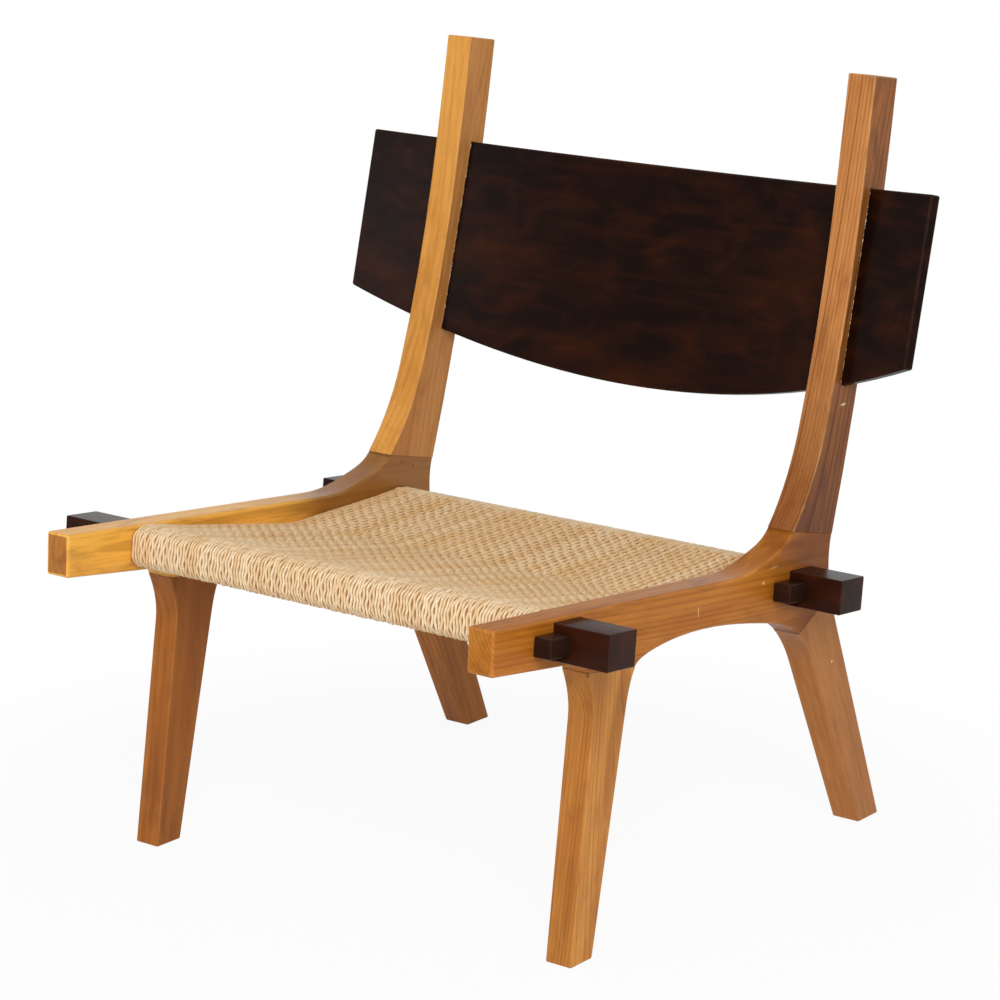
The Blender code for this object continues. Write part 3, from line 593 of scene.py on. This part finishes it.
def tubeUv(centres, sides):
    count = len(centres)
    strides = np.linalg.norm(np.diff(centres, axis=1), axis=2)
    travel = np.concatenate((np.zeros((count, 1)), np.cumsum(strides, axis=1)), axis=1)
    lower, upper = travel[:, :-1, None], travel[:, 1:, None]
    near = np.arange(sides)[None, None, :]
    u0, u1 = near / sides, (near + 1) / sides
    quad = ((u0, lower), (u1, lower), (u1, upper), (u0, upper))
    walls = np.stack([np.stack(np.broadcast_arrays(u, v), axis=-1) for u, v in quad], axis=-2).reshape(-1, 2)
    caps = np.zeros((2 * count * sides, 2))
    return np.vstack((walls, caps))


def tubes(name, centres, sideways, halfWide, halfHigh, sides, turn=0.0):
    count, rings = centres.shape[:2]
    ahead = np.gradient(centres, axis=1)
    ahead /= np.linalg.norm(ahead, axis=2, keepdims=True)
    across = sideways - ahead * np.sum(sideways * ahead, axis=2, keepdims=True)
    across /= np.linalg.norm(across, axis=2, keepdims=True)
    upward = np.cross(across, ahead)
    angles = 2 * math.pi * np.arange(sides) / sides + turn
    shape = (across[:, :, None, :] * (halfWide[..., None] * np.cos(angles))[..., None]
             + upward[:, :, None, :] * (halfHigh[..., None] * np.sin(angles))[..., None])
    points = (centres[:, :, None, :] + shape).reshape(-1, 3)
    corners, faceStarts = tubeFaces(count, rings, sides)
    mesh = bpy.data.meshes.new(name)
    mesh.vertices.add(len(points))
    mesh.loops.add(len(corners))
    mesh.polygons.add(len(faceStarts))
    mesh.vertices.foreach_set("co", points.ravel())
    mesh.loops.foreach_set("vertex_index", corners.astype(np.int32))
    mesh.polygons.foreach_set("loop_start", faceStarts.astype(np.int32))
    mesh.update(calc_edges=True)
    mesh.uv_layers.new(name="run").data.foreach_set("uv", tubeUv(centres, sides).ravel())
    mesh.shade_smooth()
    return mesh


# woven cord seat; places are (y, z) in the chair's middle plane
seatCords = {
    "halfMiddle": 0.27597,    # from the middle to the rails' inner faces, at y = 0
    "taper": 0.0025848,       # the rails thicken to the back by this per metre
    "bars": (
        {"middle": (-0.26925, 0.371648), "half": (0.0225, 0.0192)},
        {"middle": (0.19575, 0.330728), "half": (0.0205, 0.018)}),
    "barTilt": -5.0291,       # degrees, the rails' slope to the back
    "barRound": 0.0125,
    "lift": 0.0024,           # cord's middle over the bar
    "hook": 50,               # a turn ends at this angle, under the weave
    "crease": (-0.01575, 0.34794),
    "creaseRadius": 0.150,
    "creasePoints": 9,
    "arcStep": 9,             # degrees between points round a bar
    "apart": 1e-7,            # points nearer than this count as one
    "early": 0.010,           # weave begins this far before the front bar lets go
    "wovenEase": (0.002, 0.006),      # cords turn into weave over these lengths, outside and inside it
    "rollEase": (0.008, 0.003),       # and the front bar's turns end over these
    "warpCount": 132,
    "gaps": (0.92, 1.08),     # uneven spacing of the warp
    "inside": (0.008, 0.06),  # from the rails, where cords begin to drift
    "warpDrift": ((0.00012, 0.041), (0.00016, 0.093)),     # size and wave
    "weftPitch": 0.00443,
    "weftDrift": ((0.00015, 0.05), (0.0002, 0.13)),
    "rowDrift": ((0.0013, 0.115, 0.7), (0.0008, 0.043, 2.1)),   # rows swing by size, wave and phase
    "rollHalf": (0.00165, 0.0020),    # half width and half height of a cord on the bars
    "weaveHalf": (0.00185, 0.0014),   # the same where cords cross
    "weftHalf": (0.0023, 0.0014),     # weft is beaten close, so no light comes through
    "thickness": (0.96, 1.04),        # of single cords
    "warpRise": 0.0011,
    "weftRise": 0.0010,
    "bias": 0.72,             # warp stays up longer than down
    "square": 2.2,            # how flat the crests are
    "uneven": 0.75,           # each pair dips early or late, in radians
    "calm": (0.35, 0.03, 0.13),       # share of the rise at the weave's front, growing to 1 over these places
    "edgeCalm": (0.25, 0.07),         # share of the rise beside the rails, growing to 1 over this part
    "knobs": ((0.00022, 0.009), (0.00022, 0.014)),         # small unevenness along each cord
    "lumps": 0.0001,          # and between cords
    "tight": 0.0006,          # cords of a pair drawn together in the weave
    "wobble": (0.00075, 0.0005),      # sideways and up and down, of the cords on the front bar
    "wobbleWave": 0.019,
    "wobbleStretch": (0.85, 1.2),
    "sink": 0.0009,           # weave's middle below the band's
    "frontLift": (0.0020, 0.012, 0.060),      # extra height at the weave's front, its rise and its fall
    "rearLift": (0.0010, 0.050, 0.008, 0.01), # at its rear, from and to these lengths before, then its fall
    "flankShade": (0.65, 0.5),     # painted shade on the outer sides of a pair in the weave, and of a cord on the bars
    "flankShadeFrom": 0.45,
    "flankShadeCalm": 0.35,        # share of it where the weave is flat
    "dipShade": 0.06,              # painted shade, browner where a warp dips
    "warpTones": (0.0, 0.6),
    "weaveTone": 0.32,        # the weave is less pale than the bars' turns
    "weftTones": (0.3, 0.9),
    "weftShade": (0.2, 0.2),  # painted shade on the weft, and how much it swings with its wave
    "endTurn": (0.0013, 0.0014, 0.0002),      # cord laid into the corner at the rails: halves, extra height
    # painted shade on the corner cords
    "endTurnShade": 0.45,
    "backing": (0.0013, 0.0006, 0.004),       # depth under the turns, half thickness, reach into the weave
    "step": 0.0028,
    "sides": 8,
    "seed": 11,
}


def float01(values, low, high):
    # smooth step as numbers
    t = np.clip((values - low) / (high - low), 0, 1)
    return t * t * (3 - 2 * t)


def barCorner(s, bar, back, up):
    # middle of a bar's rounded corner
    tilt = math.radians(s["barTilt"])
    run = (bar["half"][0] - s["barRound"]) * back
    rise = (bar["half"][1] - s["barRound"]) * up
    return np.array(bar["middle"]) + np.array((run * math.cos(tilt) - rise * math.sin(tilt),
                                               run * math.sin(tilt) + rise * math.cos(tilt)))


def barArc(s, bar, back, up, start, end):
    # points round one corner of a bar, at angles measured from the rails' slope
    count = 3 + int(abs(end - start) / s["arcStep"])
    angles = np.radians(np.linspace(start, end, count) + s["barTilt"])
    reach = s["barRound"] + s["lift"]
    return barCorner(s, bar, back, up) + reach * np.column_stack((np.cos(angles), np.sin(angles)))


def touchAngle(s, bar, back):
    # where a straight run from the crease touches the bar's upper corner
    away = np.array(s["crease"]) - barCorner(s, bar, back, 1)
    spread = math.degrees(math.acos((s["barRound"] + s["lift"]) / np.linalg.norm(away)))
    return (math.degrees(math.atan2(away[1], away[0])) - s["barTilt"] + back * spread) % 360


def seatLine(s):
    # the band's middle line: round the front bar, down to the crease, on to the rear bar and round it
    fore, aft = s["bars"]
    front = [barArc(s, fore, 1, 1, s["hook"], 0), barArc(s, fore, 1, -1, 0, -90),
             barArc(s, fore, -1, -1, -90, -180), barArc(s, fore, -1, 1, 180, 90),
             barArc(s, fore, 1, 1, 90, touchAngle(s, fore, 1))]
    rear = [barArc(s, aft, -1, 1, touchAngle(s, aft, -1), 90), barArc(s, aft, 1, 1, 90, 0),
            barArc(s, aft, 1, -1, 0, -90), barArc(s, aft, -1, -1, -90, -180),
            barArc(s, aft, -1, 1, 180, 180 - s["hook"])]
    crease = np.array(s["crease"])
    before = crease - front[-1][-1]
    after = rear[0][0] - crease
    before, after = before / np.linalg.norm(before), after / np.linalg.norm(after)
    turn = math.atan2(after[1], after[0]) - math.atan2(before[1], before[0])
    inward = (after - before) / np.linalg.norm(after - before)
    middle = crease + inward * s["creaseRadius"] / math.cos(turn / 2)
    angles = math.atan2(before[1], before[0]) - math.pi / 2 + turn * np.linspace(0, 1, s["creasePoints"])
    bend = middle + s["creaseRadius"] * np.column_stack((np.cos(angles), np.sin(angles)))
    line = np.vstack(front + [bend] + rear)
    length = np.concatenate(([0], np.cumsum(np.linalg.norm(np.diff(line, axis=0), axis=1))))
    frontTouch = length[sum(map(len, front)) - 1]
    rearTouch = length[-sum(map(len, rear))]
    keep = np.concatenate(([True], np.diff(length) > s["apart"]))
    return length[keep], line[keep], frontTouch, rearTouch


def alongLine(w, where):
    # place, direction and outward normal at distances along the middle line
    reach = 0.0012   # the direction is felt this far before and behind
    place, after, before = (np.stack([np.interp(at, w.length, w.line[:, k]) for k in (0, 1)], axis=-1)
                            for at in (where, where + reach, where - reach))
    ahead = after - before
    ahead /= np.linalg.norm(ahead, axis=-1, keepdims=True)
    return place, ahead, np.stack((-ahead[..., 1], ahead[..., 0]), axis=-1)


def measureWeave(s):
    # the middle line, where the weave starts and ends on it, and the path of a warp cord
    w = SimpleNamespace()
    w.length, w.line, frontTouch, w.end = seatLine(s)
    w.start = frontTouch - s["early"]
    w.pairs = round((w.end - w.start) / (2 * s["weftPitch"]))
    w.weftPair = (w.end - w.start) / w.pairs
    w.where = np.linspace(0, w.length[-1], int(w.length[-1] / s["step"]))
    w.place, _, w.normal = alongLine(w, w.where)
    out, into = s["wovenEase"]
    w.woven = (float01(w.where, w.start - out, w.start + into)
               * (1 - float01(w.where, w.end - into, w.end + out)))
    return w


def wander(random, count, where, waves):
    # slow drift of each cord: a sum of sines with its own phases
    shortest, longest = 0.8, 1.25
    drift = np.zeros((count, len(where)))
    for size, wave in waves:
        phase = random.uniform(0, 2 * math.pi, (count, 1))
        stretch = random.uniform(shortest, longest, (count, 1))
        drift += size * np.sin(2 * math.pi * where / (wave * stretch) + phase)
    return drift


def halfAt(s, y):
    # half of the clear width between the rails
    return s["halfMiddle"] - s["taper"] * y


def swell(s, w, where):
    # extra height over the bars, where the weave lies on them
    high, before, after = s["frontLift"]
    front = high * float01(where, w.start - before, w.start) * (1 - float01(where, w.start, w.start + after))
    high, begin, full, after = s["rearLift"]
    rear = high * float01(where, w.end - begin, w.end - full) * (1 - float01(where, w.end, w.end + after))
    return front + rear


def rowDrift(s, x):
    # how far a row of weft lies out of line at x
    return sum(size * np.sin(2 * math.pi * x / wave + turn) for size, wave, turn in s["rowDrift"])


def calm(s, w, where):
    # the weave is flatter near the front bar
    least, near, far = s["calm"]
    return least + (1 - least) * float01(where - w.start, near, far)


def overUnder(s, phase):
    # height of a crossing cord: a wave with its crests drawn out flat
    return np.tanh(s["square"] * (np.cos(phase) + s["bias"]))


def lifted(x, place, normal, height):
    # points at x, raised from the middle line
    return np.stack(np.broadcast_arrays(x, place[..., 0] + height * normal[..., 0],
                                        place[..., 1] + height * normal[..., 1]), axis=-1)


# Twisted paper cord: the plies wind round the cord, so the groove follows turns plus distance over
# lay, and the groove is darkened as painted shade. Parts that dive under others, the outer flanks and
# the corner cords are browned as painted shade, and each cord has its own tone.
cordFinish = {
    "pale": (252, 230, 192), "tan": (226, 179, 117), "groove": (174, 126, 74), "under": (150, 98, 46),
    "specular": 0.3, "plies": 2.0, "lay": 0.009, "diveShade": 0.8,
    "speck": 900, "patch": 24,     # scales of two clouds, per metre
    "swing": 0.5,                  # tone moved up and down by the patches
    # the groove tone is painted shade in the ply grooves
    "grooveShade": (0.0, 0.5, 0.32, 0.0), "speckTone": (0.55, 0.8, 0.0, 0.25),
    "dull": (0.2, 0.58),           # the speck times the first, plus the second
    "speckRelief": 0.3, "bump": 0.35,
}
# the backing is browner than the cord, as painted shade in the gaps between the turns
backingShadeLook = {
    "pale": (166, 122, 74), "dark": (174, 126, 74), "specular": 0.1, "scale": 500, "detail": 3.0, "rough": 0.5,
    "levels": (0.35, 0.7, 0.0, 0.5), "dull": (0.2, 0.7), "bump": 0.3, "deep": 0.0004}


def makeCordMaterial(s):
    material, tree, shader = newMaterial("paperCord", s["specular"])
    uv = addNode(tree, "ShaderNodeUVMap", uv_map="run").outputs[0]
    axes = addNode(tree, "ShaderNodeSeparateXYZ", {"Vector": uv}).outputs
    wind = calc(tree, "MULTIPLY_ADD", axes["Y"], 1 / s["lay"], calc(tree, "MULTIPLY", axes["X"], s["plies"]))
    groove = calc(tree, "ABSOLUTE", calc(tree, "SINE", calc(tree, "MULTIPLY", wind, math.pi)))
    point = objectPoint(tree)
    speck, patch = (cloud(tree, stretched(tree, point, s[key], s[key])) for key in ("speck", "patch"))
    share = calc(tree, "ADD", calc(tree, "MULTIPLY_ADD", patch, s["swing"], -s["swing"] / 2),
                 surfaceMask(tree, "cordTone"), clamp=True)
    colour = mixed(tree, share, rgb(*s["pale"]), rgb(*s["tan"]))
    colour = mixed(tree, ease(tree, groove, *s["grooveShade"]), colour, rgb(*s["groove"]))
    colour = mixed(tree, ease(tree, speck, *s["speckTone"]), colour, rgb(*s["groove"]))
    # painted shade: parts that dive, flanks and corner cords turn browner
    underShadeShare = calc(tree, "MULTIPLY", surfaceMask(tree, "cordShade"), s["diveShade"])
    colour = mixed(tree, underShadeShare, colour, rgb(*s["under"]))
    finishSurface(tree, shader, colour, calc(tree, "MULTIPLY_ADD", speck, *s["dull"]),
                  calc(tree, "MULTIPLY_ADD", speck, s["speckRelief"], groove), s["bump"])
    return material


def addCords(name, parts, centres, sideways, halfWide, halfHigh, tone, paintedShade, material):
    # a set of cords, shared out over a few pieces
    rings, sides = centres.shape[1], seatCords["sides"]
    sideways = np.broadcast_to(sideways, centres.shape)
    for number, chosen in enumerate(np.array_split(np.arange(len(centres)), parts), 1):
        label = "%s_%d" % (name, number)
        mesh = tubes(label, centres[chosen], sideways[chosen], halfWide[chosen], halfHigh[chosen], sides)
        for mask, values in (("cordTone", tone), ("cordShade", paintedShade)):
            setMask(mesh, mask, np.broadcast_to(values[chosen], (len(chosen), rings, sides)).ravel(), "POINT")
        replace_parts(addPiece(label, mesh, material, "chair"), "woven_seat")


def layWarp(s, w, random, material):
    # cords from front to back, pairs over and under pairs of weft
    count = s["warpCount"]
    ordinal = np.arange(count)
    pair = ordinal // 2
    toPartner = np.where(ordinal % 2 == 0, 1, -1)
    gaps = random.uniform(*s["gaps"], count + 1)
    gaps[0] = gaps[-1] = 0.5
    across = np.cumsum(gaps)[:-1] / gaps.sum() * 2 - 1
    fromRail = 1 - np.abs(across)
    inside = float01(fromRail, *s["inside"])[:, None]
    before, after = s["rollEase"]
    onRoll = 1 - float01(w.where, w.start - before, w.start + after)
    drift = wander(random, count, w.where, s["warpDrift"])
    spin = (2 * math.pi * w.where / (s["wobbleWave"] * random.uniform(*s["wobbleStretch"], (count, 1)))
            + random.uniform(0, 2 * math.pi, (count, 1)))
    swing, bob = s["wobble"]
    x = (across[:, None] * halfAt(s, w.place[:, 0]) + toPartner[:, None] * s["tight"] * w.woven
         + inside * (drift + swing * onRoll * np.sin(spin)))
    row = w.where - w.start - rowDrift(s, across * s["halfMiddle"])[:, None]
    late = random.uniform(-s["uneven"], s["uneven"], count // 2)[pair]
    phase = math.pi * (row / w.weftPair - 0.5) + (math.pi * pair + late)[:, None]
    least, reach = s["edgeCalm"]
    wave = overUnder(s, phase) * (least + (1 - least) * float01(fromRail, 0.0, reach)[:, None])
    lively = calm(s, w, w.where)
    knobs = wander(random, count, w.where, s["knobs"])
    height = (w.woven * (s["warpRise"] * lively * wave - s["sink"] + knobs) + swell(s, w, w.where)
              + bob * onRoll * np.cos(spin) + random.normal(0, s["lumps"], (count, 1)))
    centres = lifted(x, w.place, w.normal, height)
    thick = random.uniform(*s["thickness"], (count, 1))
    halfWide, halfHigh = (thick * (roll + w.woven * (crossed - roll))
                          for roll, crossed in zip(s["rollHalf"], s["weaveHalf"]))
    rim = np.cos(2 * math.pi * np.arange(s["sides"]) / s["sides"])
    # painted shade on the outer flanks of pairs, the sides of cords on the bars, and the dips
    inWeave, onBar = s["flankShade"]
    flat, edge = s["flankShadeCalm"], s["flankShadeFrom"]
    flankShade = ((w.woven * (flat + (1 - flat) * lively))[:, None] * inWeave
             * float01(-toPartner[:, None, None] * rim, edge, 1.0)
             + (1 - w.woven)[:, None] * onBar * float01(np.abs(rim), edge, 1.0))
    paintedShade = np.maximum(flankShade, (w.woven * s["dipShade"] * (1 - wave))[..., None])
    tone = (random.uniform(*s["warpTones"], (count, 1)) + s["weaveTone"] * (w.woven * lively))[..., None]
    addCords("cord_warp", 4, centres, alongX, halfWide, halfHigh, tone, paintedShade, material)


def layEndTurns(s, w, material):
    # a thinner cord pressed into the corner against each rail, browned as a painted shadow line
    wide, high, extra = s["endTurn"]
    x = np.array(((-1.0,), (1.0,))) * (halfAt(s, w.place[:, 0]) - wide)
    height = (1 - w.woven) * extra - w.woven * (s["sink"] + extra) + swell(s, w, w.where)
    addCords("cord_end_turn", 1, lifted(x, w.place, w.normal, height), alongX, np.full_like(x, wide),
             np.full_like(x, high), np.ones((2, 1, 1)), np.full((2, 1, 1), s["endTurnShade"]), material)


def layWeft(s, w, random, material):
    # cords from side to side
    count = 2 * w.pairs
    ordinal = np.arange(count)
    share = np.linspace(-1, 1, int(2 * s["halfMiddle"] / s["step"]))
    reach = share * s["halfMiddle"]
    at = w.start + (ordinal + 0.5) * w.weftPair / 2
    at = at[:, None] + rowDrift(s, reach) + wander(random, count, reach, s["weftDrift"])
    place, ahead, normal = alongLine(w, at)
    x = share * halfAt(s, place[..., 0])
    phase = math.pi * ((share + 1) * s["warpCount"] / 4 - 0.5) + math.pi * (ordinal // 2)[:, None]
    wave = overUnder(s, phase)
    height = -s["weftRise"] * calm(s, w, at) * wave - s["sink"] + swell(s, w, at)
    centres = lifted(x, place, normal, height)
    sideways = np.stack((np.zeros_like(at), -ahead[..., 0], -ahead[..., 1]), axis=-1)
    thick = random.uniform(*s["thickness"], (count, 1))
    halfWide, halfHigh = (np.broadcast_to(thick * size, at.shape) for size in s["weftHalf"])
    tone = random.uniform(*s["weftTones"], (count, 1, 1))
    # painted shade on the weft, deeper where it dives
    brown, swing = s["weftShade"]
    addCords("cord_weft", 2, centres, sideways, halfWide, halfHigh, tone, (brown + swing * wave)[..., None], material)


def layBacking(s, w, material):
    # the layer of cord under the visible turns on each bar, a thin closed band: a tube of four
    # sides, turned by an eighth so that its corners lie at root two times its halves. It is browner
    # than the cord, as painted shade in the gaps between the turns.
    below, half, over = s["backing"]
    cornerReach = math.sqrt(2)
    for label, first, last in (("cord_backing_front", 0.0, w.start + over),
                               ("cord_backing_rear", w.end, w.length[-1])):
        where = np.linspace(first, last, int((last - first) / s["step"]))
        place, _, normal = alongLine(w, where)
        centres = lifted(np.zeros(len(where)), place, normal, -below)[None]
        wide = (halfAt(s, centres[..., 1]) - half) * cornerReach
        high = np.full_like(wide, half * cornerReach)
        mesh = tubes(label, centres, alongX, wide, high, 4, math.pi / 4)
        mesh.set_sharp_from_angle(angle=math.radians(dressing["sharp"]))
        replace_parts(addPiece(label, mesh, material, "chair"), "woven_seat")


def weaveSeat(s):
    random = np.random.default_rng(s["seed"])
    w = measureWeave(s)
    cord = makeCordMaterial(cordFinish)
    layWarp(s, w, random, cord)
    layEndTurns(s, w, cord)
    layWeft(s, w, random, cord)
    layBacking(s, w, makeSpeckled("cordBacking", backingShadeLook))
    print("seat woven,", s["warpCount"], "warp cords,", 2 * w.pairs, "weft cords")


weaveSeat(seatCords)


# Filler: ragged beads where the board's front face comes out of the posts' side faces. A bead's line
# is where the face's plane, x = middle +- half thickness - lean, cuts the bent face; its thickness
# is a sum of sines that often falls to nothing.
slotFiller = {
    "radius": 1.403, "middle": (0.335466, 0.680121), "lean": 12.9418, "above": 0.092, "below": 0.178,
    "belly": 0.0707, "halfTurn": 16.6503,      # the board's bend
    "frameMiddle": 0.294, "thickness": (0.0328, 0.00517), "frontEnd": -0.39825, "frameLean": 0.0088,
    "level": 0.371648,                         # the frames' faces
    "ends": (0.002, 0.003),                    # left free at the board's lower and upper edge
    "passes": 4,                               # rounds in which the cut is found
    "bead": (0.0001, 0.0009),                  # half height, least and most
    "beadFlat": 0.7,                           # half width over half height
    "rates": (70, 150, 340, 800), "phase": 6.28, "raggedness": (1.5, 0.2),
    "step": 0.0012, "sides": 6, "seed": 5,
}
fillerLook = {
    "pale": (206, 190, 166), "dark": (70, 46, 30), "specular": 0.2, "scale": 420, "detail": 3.0, "rough": 0.6,
    "levels": (0.46, 0.62), "dull": (0.2, 0.6), "bump": 0.4, "deep": 0.0003}


def addFiller(s):
    random = np.random.default_rng(s["seed"])
    lean, turn = math.radians(s["lean"]), math.radians(s["halfTurn"])
    material = makeSpeckled("slotFiller", fillerLook)
    share = s["frameMiddle"] / (s["radius"] * math.sin(turn))
    low = s["belly"] * share * share - s["below"]
    lowFree, highFree = s["ends"]
    height = np.linspace(low + lowFree, s["above"] - highFree, int((s["above"] - low) / s["step"]))
    thin, fat = s["bead"]
    gain, shift = s["raggedness"]
    for label, side, outer in (("left_filler_outer", 1, 1), ("left_filler_inner", 1, -1),
                               ("right_filler_inner", -1, -1), ("right_filler_outer", -1, 1)):
        angle = np.full_like(height, s["frameMiddle"] / s["radius"])
        for _ in range(s["passes"]):
            bend = s["radius"] * (np.cos(angle) - 1)
            y = s["middle"][0] + math.cos(lean) * bend + math.sin(lean) * height
            z = s["middle"][1] - math.sin(lean) * bend + math.cos(lean) * height
            thick = s["thickness"][0] + s["thickness"][1] * (y - s["frontEnd"])
            face = s["frameMiddle"] + outer * thick / 2 - s["frameLean"] * (z - s["level"])
            angle = np.arcsin(face / s["radius"])
        waves = sum(np.sin(height * rate + random.uniform(0, s["phase"])) for rate in s["rates"])
        ragged = waves / len(s["rates"])
        half = thin + (fat - thin) * np.clip(ragged * gain + shift, 0, 1)
        centres = np.stack((side * face, y, z), axis=-1)[None]
        mesh = tubes(label, centres, alongX, half[None] * s["beadFlat"], half[None], s["sides"])
        addPiece(label, mesh, material, "chair")
    print("slot filler laid")


addFiller(slotFiller)


# studio: white world for the camera, soft lamps, pale floor
studio = {
    "horizon": 0.45,          # sky light on the object, level and from above
    "zenith": 0.38,
    "lamps": (
        {"name": "keyLamp", "azimuth": 42, "height": 34, "away": 4.5, "size": 2.5, "power": 130},
        {"name": "frontLamp", "azimuth": -14, "height": 18, "away": 3.6, "size": 0.45, "power": 12},
    ),
    "aim": (0.0, 0.0, 0.45),
    "floorHalf": 14.0,
    "floorDrop": 0.0004,      # just under the feet
    "floorTone": (0.86, 0.86, 0.86, 1),
    "floorWhite": (0.5, 1.0, 0.93, 1.0),      # the eye sees it whiter from the first place to the second
}
plainWhite = (1, 1, 1, 1)


def seenByEye(tree):
    # 1 for rays that come from the camera, a mirror or glass
    rays = addNode(tree, "ShaderNodeLightPath").outputs
    return calc(tree, "MAXIMUM", rays["Is Camera Ray"],
                calc(tree, "MAXIMUM", rays["Is Glossy Ray"], rays["Is Transmission Ray"]))


def buildWorld(s):
    world = bpy.data.worlds.new("studioWorld")
    scene.world = world
    world.use_nodes = True
    tree = world.node_tree
    back = tree.nodes["Background"]
    back.inputs["Color"].default_value = plainWhite
    direction = addNode(tree, "ShaderNodeTexCoord").outputs["Generated"]
    climb = addNode(tree, "ShaderNodeSeparateXYZ", {"Vector": direction}).outputs["Z"]
    sky = ease(tree, climb, 0.0, 1.0, s["horizon"], s["zenith"])
    eye = seenByEye(tree)
    strength = calc(tree, "ADD", eye, calc(tree, "MULTIPLY", sky, calc(tree, "SUBTRACT", 1.0, eye)))
    tree.links.new(strength, back.inputs["Strength"])


def addLamp(lamp, aim):
    data = bpy.data.lights.new(lamp["name"], "AREA")
    data.size = lamp["size"]
    data.energy = lamp["power"]
    item = bpy.data.objects.new(lamp["name"], data)
    scene.collection.objects.link(item)
    azimuth, height = math.radians(lamp["azimuth"]), math.radians(lamp["height"])
    outward = Vector((math.sin(azimuth) * math.cos(height), -math.cos(azimuth) * math.cos(height),
                      math.sin(height)))
    item.location = aim + outward * lamp["away"]
    item.rotation_euler = (-outward).to_track_quat("-Z", "Y").to_euler()


def makeFloorMaterial(s):
    material = bpy.data.materials.new("paleFloor")
    material.use_nodes = True
    tree = material.node_tree
    tree.nodes.remove(tree.nodes["Principled BSDF"])
    matte = addNode(tree, "ShaderNodeBsdfDiffuse", {"Color": s["floorTone"]}).outputs[0]
    white = addNode(tree, "ShaderNodeEmission", {"Color": plainWhite, "Strength": 1.0}).outputs[0]
    away = vectorCalc(tree, "LENGTH", objectPoint(tree))["Value"]
    share = calc(tree, "MULTIPLY", seenByEye(tree), ease(tree, away, *s["floorWhite"]))
    surface = addNode(tree, "ShaderNodeMixShader", {0: share, 1: matte, 2: white}).outputs[0]
    tree.links.new(surface, tree.nodes["Material Output"].inputs["Surface"])
    return material


def layFloor(s):
    reach = s["floorHalf"]
    corners = [(-reach, -reach, 0), (reach, -reach, 0), (reach, reach, 0), (-reach, reach, 0)]
    mesh = bpy.data.meshes.new("studioFloor")
    mesh.from_pydata(corners, [], [(0, 1, 2, 3)])
    floor = bpy.data.objects.new("studioFloor", mesh)
    scene.collection.objects.link(floor)
    floor.location.z = -s["floorDrop"]
    mesh.materials.append(makeFloorMaterial(s))


def buildStudio(s):
    buildWorld(s)
    for lamp in s["lamps"]:
        addLamp(lamp, Vector(s["aim"]))
    layFloor(s)
    print("studio built")


buildStudio(studio)
